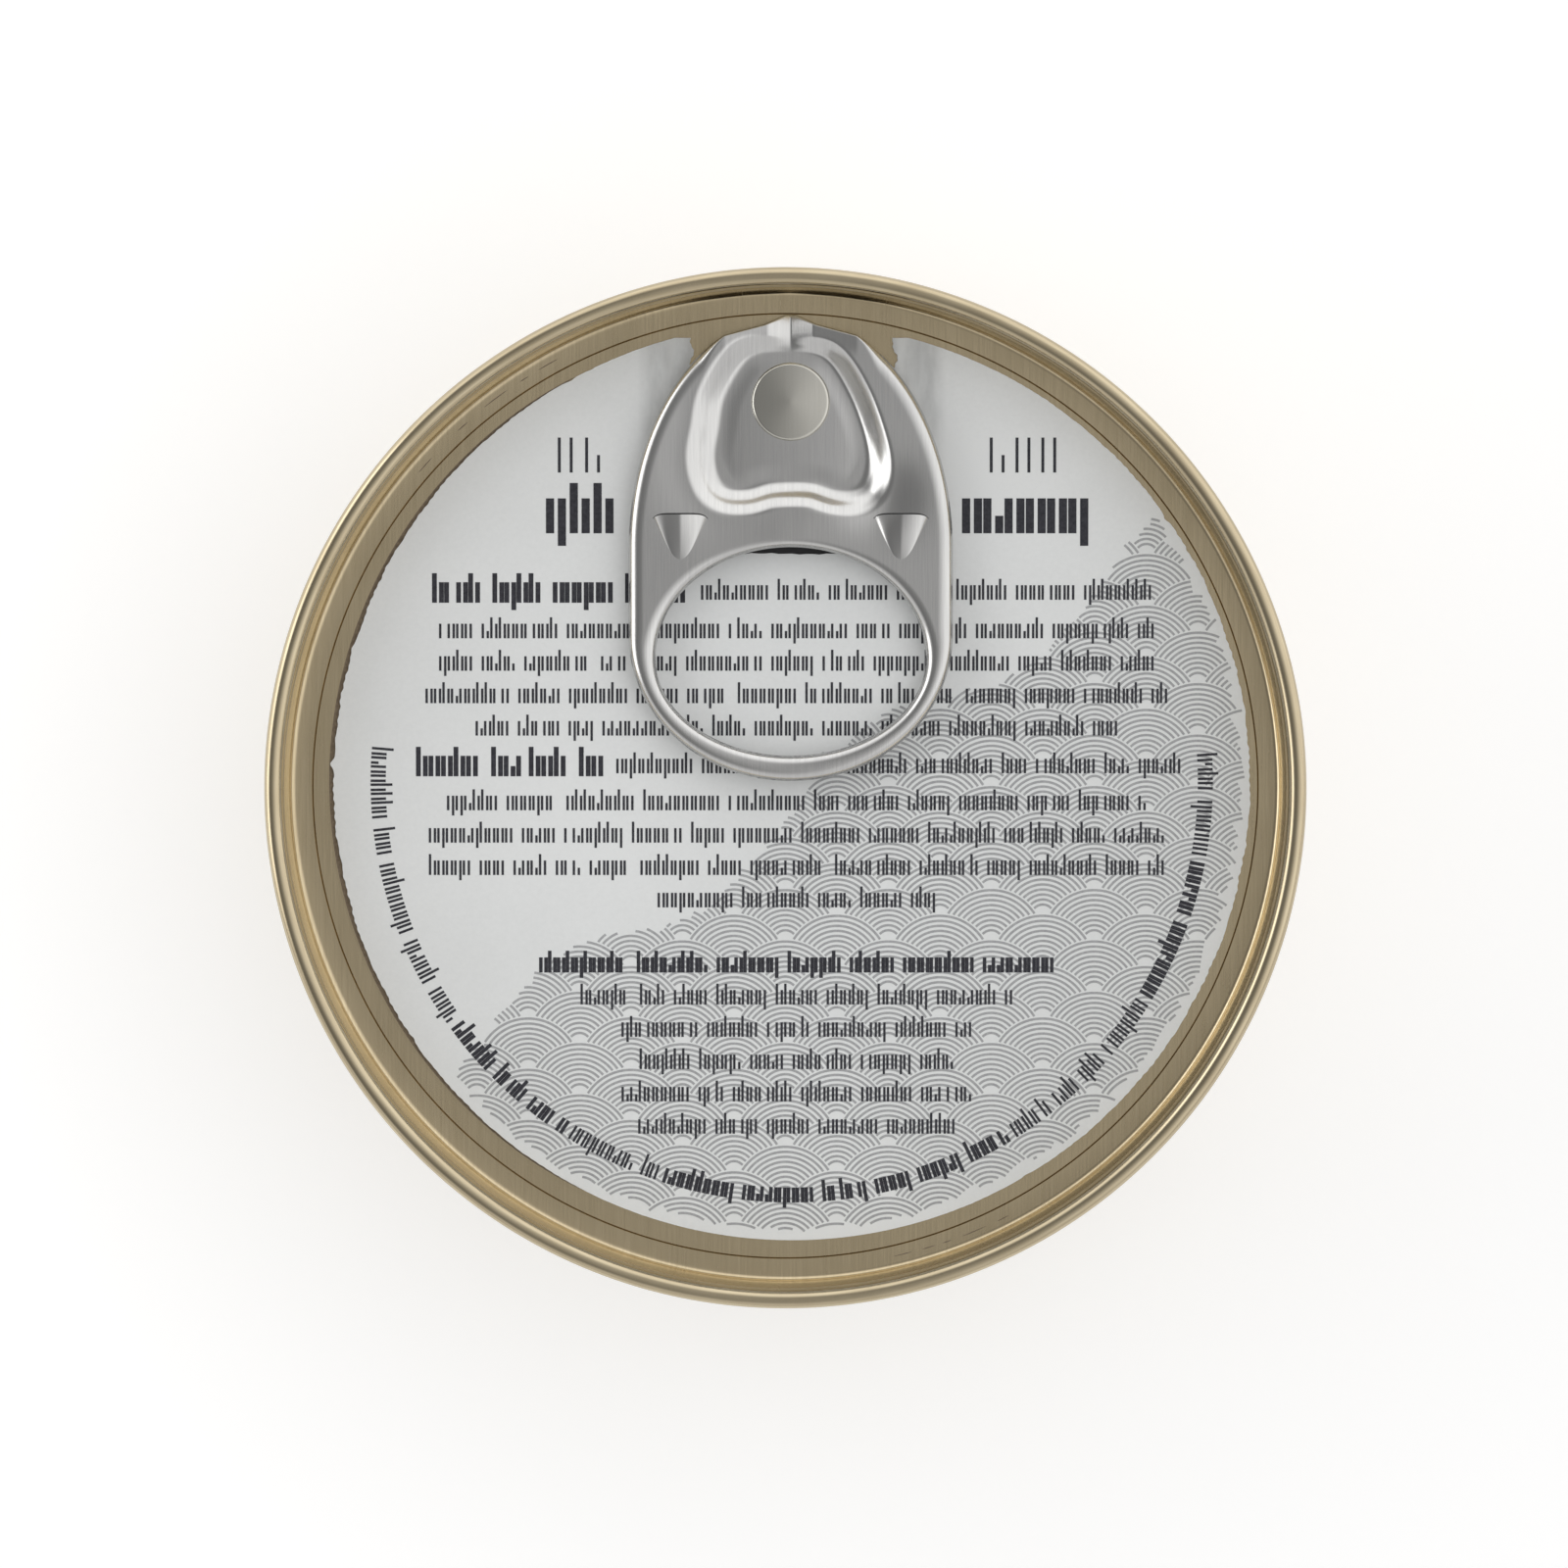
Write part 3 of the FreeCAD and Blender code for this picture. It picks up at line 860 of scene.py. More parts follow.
@dataclass
class TinEnd:
    """Ring-pull end: double seam, chuck wall, panel and tear line, and the rivet's head.

    Attributes:
        around: steps round the axis.
        seam_thickness: across the crown of the seam.
        countersink: crown of the seam to the panel.
        dish_inside_score: how far inside the tear line the panel has reached its full dip.
        dish_bend: rounding where the dip becomes flat.
        rivet_dome_share: share of the rivet's radius that is its dome, inside the edge's rounding.
        rivet_sink: how far its side reaches into the pull's island.
        scuff_arcs: start and span in degrees, and distance from the panel's edge, of each scuff.
        scuff_stretch: shares of half a turn between which a sine gives a scuff's width.
        mark_height: how far scuffs and the line along the label's edge stand out of the panel; mark_depth is
            how far they reach in.
        patch_power: power of the sine and cosine in the patch's outline.
        patch_bevel: size of the patch's top against its outline.
    """

    around: int = 640
    crown_stops: int = 25
    seam_thickness: float = 1.15
    seam_height: float = 2.8
    seam_overhang: float = 1.0
    inside_body_wall: float = 0.12
    skirt_round: float = 0.35
    countersink: float = 4.0
    chuck_taper: float = 0.35
    bend: float = 0.4
    score_to_wall: float = 1.45
    score_width: float = 0.1
    score_depth: float = 0.1
    panel_dish: float = 0.045
    dish_inside_score: float = 1.0
    dish_bend: float = 2.0
    sheet: float = 0.25
    rivet_around: int = 128
    rivet_radius: float = 2.6
    rivet_height: float = 0.55
    rivet_dome: float = 0.26
    rivet_dome_power: float = 1.4
    rivet_dome_share: float = 0.9
    rivet_edge_round: float = 0.28
    rivet_stops: int = 24
    rivet_sink: float = 0.1
    nose_to_rivet: float = 5.7
    island_floor: float = 0.5
    scuff_arcs: tuple[tuple[float, float, float], ...] = (
        (283.0, 2.2, 0.75), (286.5, 1.6, 0.72), (289.0, 1.1, 0.7), (291.5, 3.0, 0.68), (296.0, 1.5, 0.66),
        (118.0, 2.6, 0.7), (122.0, 1.2, 0.72), (125.0, 3.4, 0.7), (131.0, 1.6, 0.75), (137.0, 2.4, 0.8),
    )
    scuff_half_width: float = 0.035
    scuff_stretch: tuple[float, float] = (0.08, 0.92)
    scuff_steps: int = 12
    edge_line_start: float = 118.0
    edge_line_span: float = 125.0
    edge_line_half_width: float = 0.24
    edge_line_steps: int = 160
    mark_height: float = 0.004
    mark_depth: float = 0.05
    patch_around: int = 96
    patch_x: float = 0.45
    patch_half_width: float = 5.5
    patch_half_length: float = 1.4
    patch_power: float = 0.5
    patch_bevel: float = 0.9
    patch_height: float = 0.02
    patch_depth: float = 0.12
    pull_end_to_patch: float = 16.1

    def __post_init__(self) -> None:
        """Take the end's radii and heights from its node."""
        low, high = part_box("lid")
        self.outside = (high.x - low.x) / 2 / MM
        self.inside = self.outside - self.seam_thickness
        self.panel_edge = self.inside - self.chuck_taper
        self.crown_top = high.z / MM
        self.panel = self.crown_top - self.countersink
        self.dish_length = self.score_to_wall + self.dish_inside_score

    def section(self) -> Array:
        """Section from the middle of the panel over the seam and back under the panel.

        The crown is a half circle as wide as the seam: its points are the crown's middle plus its radius in
        directions turned from inward to outward.

        Returns:
            Array of (radius, height).
        """
        crown = self.seam_thickness / 2
        shoulder = self.crown_top - crown
        score = self.panel_edge - self.score_to_wall
        half_score = self.score_width / 2
        lean = self.panel_dish / self.dish_length
        at_score = self.panel - lean * self.score_to_wall
        inner = rounded_section([
            (0.0, self.panel - self.panel_dish),
            (score - self.dish_inside_score, self.panel - self.panel_dish, self.dish_bend),
            (score - half_score, at_score - lean * half_score),
            (score, at_score - self.score_depth),
            (score + half_score, at_score + lean * half_score),
            (self.panel_edge, self.panel, self.bend),
            (self.inside, shoulder),
        ])
        turns = np.linspace(math.pi, 0.0, self.crown_stops)
        skirt_end = self.crown_top - self.seam_height
        body_wall = self.outside - self.seam_overhang - self.inside_body_wall
        skirt = rounded_section([
            (self.outside, shoulder),
            (self.outside, skirt_end, self.skirt_round),
            (body_wall, skirt_end),
            (body_wall, self.panel - self.sheet),
            (0.0, self.panel - self.sheet),
        ])
        return np.concatenate([inner[:-1], oval(turns, crown) + (self.outside - crown, shoulder), skirt[1:]])

    def build(self, finish: Material, wall_finish: Material,
              seam_finish: Material, rivet_finish: Material) -> list[Piece]:
        """Make the end and its rivet's head.

        Args:
            finish: the lacquered sheet.
            wall_finish: the sheet where it is drawn into the wall.
            seam_finish: the sheet where it is rolled into the seam.
            rivet_finish: the lacquered sheet where it is stretched over the rivet.

        Returns:
            The end and the rivet.
        """
        shell = Shell()
        spin(shell, self.section(), self.around)
        end = shell.to_object("lacquered_end", finish, wall_finish, seam_finish, sharp_degrees=30.0)
        across, along, height = face_middles(end)
        is_seam = np.hypot(across, along) > self.inside
        is_raised = height > self.panel + self.bend / 2
        zones = np.where(is_raised, np.where(is_seam, 2, 1), 0).astype(np.int32)
        end.data.polygons.foreach_set("material_index", zones)
        rivet = self.rivet(rivet_finish)
        for piece in (end, rivet):
            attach(piece, "root")
        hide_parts("lid")
        return [end, rivet]

    def painted_shade_patch(self, finish: Material) -> Piece:
        """Make the painted shade on the panel that shows between the web and the label: a thin black plate
        that stands for the deep shadow under the pull.

        Its outline is a flattened oval whose points are powers of the sine and cosine.

        Args:
            finish: the black of the painted shade.

        Returns:
            The patch.
        """
        turns = full_turn(self.patch_around)
        ways = stacked(np.cos(turns), np.sin(turns), 0.0)
        halves = (self.patch_half_width, self.patch_half_length, 0.0)
        outline = halves * np.sign(ways) * np.abs(ways) ** self.patch_power
        place = (self.patch_x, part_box("ring_pull")[0].y / MM + self.pull_end_to_patch, self.panel)
        top, bottom = self.patch_height, -self.patch_depth
        rings = ((self.patch_bevel, top), (1.0, 0.0), (1.0, bottom), (self.patch_bevel, bottom))
        grid = [place + outline * size + (0.0, 0.0, rise) for size, rise in rings]
        shell = Shell()
        shell.add_grid(np.stack(grid), wrap=True)
        poles = shell.add_points(place + np.array([(0.0, 0.0, top), (0.0, 0.0, bottom)]))
        ring = np.arange(len(turns))
        shell.add_fan(ring, poles)
        shell.add_fan(ring + 3 * len(turns), poles + 1, flip=True)
        piece = shell.to_object("panel_painted_shade", finish)
        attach(piece, "root")
        return piece

    def level(self, across: Array, along: Array) -> Array:
        """Height of the panel, which leans inwards from its edge and then lies flat."""
        share = np.minimum((self.panel_edge - np.hypot(across, along)) / self.dish_length, 1.0)
        return self.panel - self.panel_dish * share

    def add_arcs(self, shell: Shell, middle: Array, reach: Array, turns: Array, halves: Array) -> None:
        """Append ribbons on the panel that run round a middle.

        Args:
            shell: gathers the faces.
            middle: the arcs' middle in the plane.
            reach: the arcs' radii, shape (arcs, 1).
            turns: directions of their points in radians, shape (arcs, points).
            halves: half widths there, of the same shape.
        """
        paths = middle + oval(turns, reach)
        shell.add_ribbons(paths, halves, self.level, -self.mark_depth, self.mark_height)

    def scuffs(self, finish: Material) -> Piece:
        """Make the faint broken arcs between the tear line and the wall, and the dark brown line along the
        label's left edge.

        Their widths rise and fall along them: a stretch of a sine for the scuffs, and the root of a half
        sine for the edge line.

        Args:
            finish: the brown of the scuffs.

        Returns:
            The scuffs.
        """
        shell = Shell()
        starts, spans, insets = (np.array(column)[:, None] for column in zip(*self.scuff_arcs))
        share = np.linspace(0.0, 1.0, self.scuff_steps)[None]
        swell = np.sin(math.pi * np.linspace(*self.scuff_stretch, self.scuff_steps)[None])
        halves = self.scuff_half_width * swell + 0 * starts
        turns = np.radians(starts + spans * share)
        self.add_arcs(shell, np.zeros(2), self.panel_edge - insets, turns, halves)
        low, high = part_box("label")
        radius = (high.x - low.x) / 2 / MM
        middle = np.array([(low.x + high.x) / 2 / MM, low.y / MM + radius])
        share = np.linspace(0.0, 1.0, self.edge_line_steps)[None]
        halves = self.edge_line_half_width * np.sin(math.pi * share) ** 0.5
        turns = np.radians(self.edge_line_start + self.edge_line_span * share)
        self.add_arcs(shell, middle, np.array([[radius]]), turns, halves)
        piece = shell.to_object("panel_scuffs", finish)
        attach(piece, "root")
        return piece

    def rivet(self, finish: Material) -> Piece:
        """Domed rivet head with a softly rounded edge, standing on the pull's island.

        The dome falls by a power of the share of the radius.

        Args:
            finish: the stretched sheet.

        Returns:
            The rivet head.
        """
        pull_low, pull_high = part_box("ring_pull")
        middle = ((pull_low.x + pull_high.x) / 2 / MM, pull_high.y / MM - self.nose_to_rivet)
        island = pull_low.z / MM + self.island_floor
        foot = island - self.rivet_sink
        edge = island + self.rivet_height - self.rivet_dome
        share = np.linspace(0.0, self.rivet_dome_share, self.rivet_stops)
        rise = self.rivet_dome * (1 - share ** self.rivet_dome_power)
        dome = stacked(share * self.rivet_radius, edge + rise)
        side = rounded_section([
            tuple(dome[-1]),
            (self.rivet_radius, edge, self.rivet_edge_round),
            (self.rivet_radius, foot),
            (0.0, foot),
        ])
        shell = Shell()
        spin(shell, np.concatenate([dome, side[1:]]), self.rivet_around, middle)
        return shell.to_object("rivet_head", finish)


# Ring pull

@dataclass
class RingPull:
    """Stamped pull: a web with rolled edges, a finger hole, a sunk island, a grooved nose and two bumps.

    Plan sizes are measured from the pull's middle line and from the tin's axis.

    Attributes:
        columns: steps round the finger hole.
        column_crowding: how much closer together columns are towards the nose.
        rows: steps from the hole's edge to the outline.
        row_easing: how much closer together rows are towards both edges.
        nose_roll: rounding of the nose's cut edge, from one height over its corners to another; its half
            thickness is nose_edge.
        limb_widths: widths of the web between which the hole's roll goes from limb_roll to hole_roll.
        island_shoulder: places on the island's edge: share of its top's half width, and height over its top.
        island_side: share of its half width, and height over the rivet.
        island_foot: share of its half width, and height over its end.
        left_fullness: how much wider the island is on its upper left, from one height over the rivet to
            another.
        wall_swells: heading in degrees, extra width and sharpness of each swell of the island's wall.
        corner_sag: how far the web sags at the island's lower right corner.
        ledge: strength of the slight step in the island's wall; ledge_above is its share above the middle.
        groove_start: distances behind the nose's tip between which the groove and the lean come in.
        bump_ridge: share of a tent in the bump's section, the rest of it being half an oval.
        bump_fullness: power of the length to which a bump's width grows; bump_rise is its height's.
        bump_overrun: how far in radians a bump's section runs past its half turn, and bump_foot how deep it
            gets there, as a share of its height.
        bump_inside: width and height of the bump's hollow against its outside.
    """

    columns: int = 640
    column_crowding: float = 0.62
    rows: int = 120
    row_easing: float = 0.55
    under_rows: int = 20
    side_steps: int = 120
    bow_steps: int = 240
    chord_steps: int = 30
    hole_steps: int = 480
    island_steps: int = 16
    loop_step: float = 0.06
    ring_bow_length: float = 9.5
    shoulder_length: float = 15.3
    nose_half_width: float = 4.35
    nose_corner_back: float = 1.35
    nose_wing_half_width: float = 1.7
    nose_wing_back: float = 0.62
    beak_half_width: float = 0.35
    hole_half_width: float = 8.89
    hole_to_ring_end: float = 1.68
    hole_bow_length: float = 6.39
    hole_crown_length: float = 7.32
    roll_height: float = 1.35
    float_height: float = 0.45
    outer_roll: float = 1.0
    hole_roll: float = 0.62
    limb_roll: float = 0.88
    limb_widths: tuple[float, float] = (3.0, 8.0)
    nose_roll: float = 0.1
    nose_edge: float = 0.16
    nose_roll_rise: tuple[float, float] = (-1.6, 0.1)
    nose_to_rivet: float = 5.65
    island_half_width: float = 4.92
    island_top_half_width: float = 2.75
    rivet_to_island_top: float = 3.05
    rivet_to_island_middle: float = 1.5
    rivet_to_island_end: float = 5.6
    island_shoulder: tuple[tuple[float, float], ...] = ((0.0, 0.0), (0.62, -0.12), (1.0, -0.95))
    island_side: tuple[tuple[float, float], ...] = ((0.79, 0.1), (0.94, -1.9))
    island_foot: tuple[tuple[float, float], ...] = (
        (1.0, 2.1), (0.96, 0.8), (0.85, 0.08), (0.6, -0.02), (0.3, 0.36), (0.0, 0.45),
    )
    wall_width: float = 1.6
    wall_swells: tuple[tuple[float, float, float], ...] = (
        (180.0, 0.4, 2.0), (-90.0, 0.3, 4.0), (-40.0, 0.5, 26.0), (90.0, -0.35, 12.0),
    )
    corner_sag: float = 0.42
    corner_heading: float = -40.0
    corner_sharpness: float = 44.0
    left_fullness: float = 0.5
    left_fullness_rise: tuple[float, float] = (-2.5, 1.0)
    wall_rounding: float = 0.22
    ledge: float = 0.07
    ledge_above: float = 0.35
    island_floor: float = 0.5
    island_dome: float = 0.16
    island_dome_edge: float = 1.2
    web_dish: float = 0.14
    web_dish_reach: float = 1.8
    groove_half_width: float = 1.5
    groove_depth: float = 0.45
    groove_start: tuple[float, float] = (3.0, 1.9)
    wing_slope: float = 0.12
    nose_drop: float = 0.35
    nose_drop_length: float = 2.0
    bump_from_middle: float = 7.25
    bump_half_width: float = 1.75
    bump_length: float = 3.15
    bump_height: float = 0.75
    bump_ridge: float = 0.35
    bump_fullness: float = 0.66
    bump_rise: float = 1.3
    bump_bow: float = 0.22
    bump_overrun: float = 0.1
    bump_foot: float = 0.04
    bump_rows: int = 44
    bump_columns: int = 56
    bump_inside: tuple[float, float] = (0.88, 0.7)
    bump_sheet: float = 0.04
    bump_sink: float = 0.02
    slit_half_width: float = 0.05
    slit_past_bump: float = 0.06
    slit_from_bump: float = 0.05
    slit_bow: float = 0.32
    slit_height: float = 0.012
    slit_depth: float = 0.1
    slit_narrowing: float = 0.7
    slit_steps: int = 40
    crown_to_slit: float = 2.15

    def __post_init__(self) -> None:
        """Take the pull's place and overall size from its node."""
        low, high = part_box("ring_pull")
        self.mid_x = (low.x + high.x) / 2 / MM
        self.half_width = (high.x - low.x) / 2 / MM
        self.nose_y = high.y / MM
        self.ring_end_y = low.y / MM
        self.panel_z = low.z / MM
        self.bottom_z = self.panel_z + self.float_height
        self.top_z = self.bottom_z + self.roll_height
        self.rivet_y = self.nose_y - self.nose_to_rivet
        self.hole_y = self.ring_end_y + self.hole_to_ring_end + self.hole_bow_length
        self.corner_y = self.nose_y - self.nose_corner_back
        narrowing = self.nose_half_width / self.half_width
        self.shoulder_y = self.corner_y - self.shoulder_length * math.sqrt(1 - narrowing ** 2)
        self.corner_turn = math.acos(narrowing)
        self.slit_y = self.hole_y + self.hole_crown_length + self.crown_to_slit

    def outline(self) -> Array:
        """Outline from the nose's middle to the right and round: chords of the cut nose, ovals elsewhere.

        An oval's points are (half width x cos a, middle + length x sin a).

        Returns:
            Closed chain of points, shape (n, 2).
        """
        turns = np.linspace(self.corner_turn, 0.0, self.side_steps)
        right = oval(turns, self.half_width, self.shoulder_length) + (0.0, self.shoulder_y)
        turns = np.linspace(0.0, -math.pi, self.bow_steps)
        bow = oval(turns, self.half_width, self.ring_bow_length)
        bow = bow + (0.0, self.ring_end_y + self.ring_bow_length)
        left = right[::-1] * (-1, 1)
        wing_y = self.nose_y - self.nose_wing_back
        nose_stops = np.array([
            (-self.nose_half_width, self.corner_y),
            (-self.nose_wing_half_width, wing_y),
            (-self.beak_half_width, self.nose_y),
            (self.beak_half_width, self.nose_y),
            (self.nose_wing_half_width, wing_y),
            (self.nose_half_width, self.corner_y),
        ])
        nose = np.concatenate([
            np.linspace(start, end, self.chord_steps, endpoint=False)
            for start, end in zip(nose_stops, nose_stops[1:])
        ])
        return even_loop(np.concatenate([right, bow, left[:-1], nose]), self.loop_step)

    def hole(self) -> Array:
        """Edge of the finger hole: two half ovals of one width.

        Returns:
            Closed chain of points, shape (n, 2).
        """
        turns = full_turn(self.hole_steps)
        length = np.where(np.sin(turns) > 0, self.hole_crown_length, self.hole_bow_length)
        return oval(turns, self.hole_half_width, length) + (0.0, self.hole_y)

    def island(self) -> Array:
        """Bell-shaped edge of the island's floor, a smooth closed curve through a few stops.

        Between stops the curve is a cubic whose slopes are the chords from each stop's neighbours.

        Returns:
            Closed chain of points, shape (n, 2).
        """
        stretches = (
            (self.island_shoulder, self.island_top_half_width, self.rivet_to_island_top),
            (self.island_side, self.island_half_width, 0.0),
            (self.island_foot, self.island_half_width, -self.rivet_to_island_end),
        )
        right = np.array([
            (share * width, self.rivet_y + height + rise)
            for places, width, height in stretches for share, rise in places
        ])
        left = right[-2:0:-1] * (-1, 1)
        low, high = self.left_fullness_rise
        left[:, 0] -= self.left_fullness * smooth_step(left[:, 1], self.rivet_y + low, self.rivet_y + high)
        stops = np.concatenate([right, left])
        slopes = (np.roll(stops, -1, axis=0) - np.roll(stops, 1, axis=0)) / 2
        share = np.linspace(0.0, 1.0, self.island_steps, endpoint=False)[None, :, None]
        start, finish = stops[:, None], np.roll(stops, -1, axis=0)[:, None]
        leave, arrive = slopes[:, None], np.roll(slopes, -1, axis=0)[:, None]
        squared, cubed = share ** 2, share ** 3
        curve = (
            (2 * cubed - 3 * squared + 1) * start + (cubed - 2 * squared + share) * leave
            + (3 * squared - 2 * cubed) * finish + (cubed - squared) * arrive
        )
        return even_loop(curve.reshape(-1, 2), self.loop_step)

    def column_turns(self) -> Array:
        """Directions of the grid's columns, closer together towards the nose."""
        even = full_turn(self.columns)
        return math.pi / 2 + even - self.column_crowding * np.sin(even)

    def web_height(self, across: Array, along: Array) -> Array:
        """Height of the sheet's top, before its edges are rolled.

        The web dips towards the island by a bell curve of the distance to it: less on the right, and more at
        the island's lower right corner.  The island's wall is an S curve whose width swells by a power of
        (1 + cos) / 2 of the angle from each swell's heading, with a slight ledge that is stronger below, and
        its floor is a low dome.  The nose leans down to its tip, its wings lean towards the middle, and a V
        groove runs along it.

        Args:
            across: distance from the pull's middle line.
            along: distance from the tin's axis.

        Returns:
            Heights.
        """
        points = stacked(across.ravel(), along.ravel())
        island = self.island()
        gap = distance_to_loop(points, island).reshape(across.shape)
        middle = (0.0, self.rivet_y - self.rivet_to_island_middle)
        towards = np.arctan2(along - middle[1], across)
        outside = np.hypot(across, along - middle[1]) > reach_towards(island, middle, towards)
        slope = np.full(across.shape, self.wall_width)
        for heading, extra, sharpness in self.wall_swells:
            slope += extra * facing(towards, heading) ** sharpness
        beyond = np.where(outside, gap, 0.0)
        share = np.clip(beyond / slope, 0.0, 1.0)
        below = np.maximum(-np.sin(towards), 0.0)
        ledge = self.ledge * (self.ledge_above + below) * np.sin(4 * math.pi * share) * share * (1 - share)
        wall = rounded_ramp(share, self.wall_rounding) + ledge
        corner = facing(towards, self.corner_heading) ** self.corner_sharpness
        dish = self.web_dish * (1 - facing(towards, 0.0) ** 2) + self.corner_sag * corner
        depth = self.top_z - self.panel_z - self.island_floor - dish
        dip = dish * np.exp(-(np.maximum(beyond - slope, 0.0) / self.web_dish_reach) ** 2)
        off_middle = (across / self.island_half_width, (along - middle[1]) / self.rivet_to_island_end)
        dome = self.island_dome * np.maximum(1 - np.hypot(*off_middle) ** 2, 0.0)
        dome = dome * smooth_step(np.where(outside, 0.0, gap), 0.0, self.island_dome_edge)
        height = self.top_z - dip - depth * (1 - wall) + dome
        ahead = np.maximum(along - (self.nose_y - self.nose_drop_length), 0.0) / self.nose_drop_length
        on_nose = smooth_step(along, *(self.nose_y - back for back in self.groove_start))
        lean = self.wing_slope * (np.minimum(np.abs(across), self.nose_half_width) - self.nose_half_width)
        groove = -self.groove_depth * np.clip(1 - np.abs(across) / self.groove_half_width, 0.0, 1.0)
        return height - self.nose_drop * ahead ** 2 + on_nose * (lean + groove) * wall

    def build(self, finish: Material) -> Piece:
        """Make the pull as one closed shell with its two bumps.

        Rays run from the hole's middle.  Along each, points step from the hole's edge to the outline, closer
        together at both ends.  An edge's roll is a quarter of an oval in height against the distance to that
        edge, above and below.

        Args:
            finish: the bare metal.

        Returns:
            The finished piece.
        """
        shell = Shell()
        outline, hole = self.outline(), self.hole()
        turns = self.column_turns()
        outer, inner = (reach_towards(loop, (0.0, self.hole_y), turns) for loop in (outline, hole))
        even = np.linspace(0.0, 1.0, self.rows)
        eased = 0.5 - 0.5 * np.cos(math.pi * even)
        share = (self.row_easing * eased + (1 - self.row_easing) * even)[:, None]
        reach = inner + (outer - inner) * share
        across, along = reach * np.cos(turns), self.hole_y + reach * np.sin(turns)
        points = stacked(across.ravel(), along.ravel())
        to_outline = distance_to_loop(points, outline).reshape(across.shape)
        to_hole = distance_to_loop(points, hole).reshape(across.shape)
        width = distance_to_loop(oval(turns, inner) + (0.0, self.hole_y), outline)
        widening = smooth_step(width, *self.limb_widths)
        hole_roll = np.minimum(self.limb_roll + (self.hole_roll - self.limb_roll) * widening, width / 2)
        on_nose = smooth_step(along[-1], *(self.corner_y + height for height in self.nose_roll_rise))
        outer_roll = np.minimum(self.outer_roll, np.maximum(width / 2, self.nose_roll))
        outer_roll = outer_roll + (self.nose_roll - outer_roll) * on_nose
        drop = np.maximum(quarter_oval(to_outline, outer_roll), quarter_oval(to_hole, hole_roll))
        web = self.web_height(across, along)
        half = self.roll_height / 2
        half_here = half + (self.nose_edge - half) * on_nose[None, :] * (to_outline < to_hole)
        top = web - drop * half_here
        shell.add_grid(stacked(across + self.mid_x, along, top), wrap=True, flip=True)
        pick = np.linspace(0, self.rows - 1, self.under_rows).round().astype(int)
        under = np.minimum(2 * (web - half_here)[pick] - top[pick], top[pick])
        under[[0, -1]] = top[[0, -1]]
        shell.add_grid(stacked(across[pick] + self.mid_x, along[pick], under), wrap=True)
        for side in (-1, 1):
            self.add_bump(shell, side)
        piece = shell.to_object("ring_pull_shell", finish, sharp_degrees=60.0)
        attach(piece, "root")
        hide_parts("ring_pull")
        return piece

    def add_bump(self, shell: Shell, side: int) -> None:
        """Append a lanced bump: a hollow half cone that opens at its wide end.

        At a share t of its length from the tip, the bump has t to the power of a fullness times its full
        width, and its section is half an oval mixed with a tent, which gives it a ridge.  The wide end's
        line falls back a little at both sides, by powers of that share and of the cosine.

        Args:
            shell: gathers the faces.
            side: -1 for the left bump, 1 for the right one.
        """
        share = np.linspace(0.0, 1.0, self.bump_rows)[:, None]
        turn = np.linspace(-self.bump_overrun, math.pi + self.bump_overrun, self.bump_columns)[None, :]
        across = share ** self.bump_fullness * self.bump_half_width * np.cos(turn)
        bow, tent = np.maximum(np.sin(turn), -self.bump_foot), 1 - np.abs(np.cos(turn))
        height = share ** self.bump_rise * self.bump_height * (bow + self.bump_ridge * (tent - bow))
        setback = self.bump_bow * share ** 4 * np.cos(turn) ** 6
        along = self.slit_y - self.bump_length * (1 - share) - setback
        middle = side * self.bump_from_middle
        floor = self.web_height(across + middle, along) - self.bump_sink
        middle += self.mid_x
        outer = stacked(across + middle, along, floor + height)
        narrow, low = self.bump_inside
        inner = stacked(narrow * across + middle, along, floor + low * height - self.bump_sheet)
        shell.add_grid(outer)
        shell.add_grid(inner, flip=True)
        shell.add_grid(np.stack([outer[-1], inner[-1]]))

    def slits(self, finish: Material) -> Piece:
        """Make the painted shade in the cuts at the bumps' open ends: thin dark ribbons where the gaps lie
        in shadow.

        Each follows the bump's end line: its middle is straight and its sides bow by the sixth power of the
        share of the half width.  It narrows by the eighth power of that share.

        Args:
            finish: the painted shade of the cut.

        Returns:
            The finished piece.
        """
        share = np.linspace(-1.0, 1.0, self.slit_steps)
        paths = np.stack([
            stacked(
                side * self.bump_from_middle + share * (self.bump_half_width + self.slit_past_bump),
                self.slit_y + self.slit_from_bump - self.slit_bow * share ** 6,
            )
            for side in (-1, 1)
        ])
        narrowed = self.slit_half_width * (1 - self.slit_narrowing * share ** 8)
        halves = np.broadcast_to(narrowed, paths.shape[:2])
        shell = Shell()
        shell.add_ribbons(paths, halves, self.web_height, -self.slit_depth, self.slit_height)
        shell.points[0][:, 0] += self.mid_x
        piece = shell.to_object("pull_slits", finish)
        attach(piece, "root")
        return piece


# Label

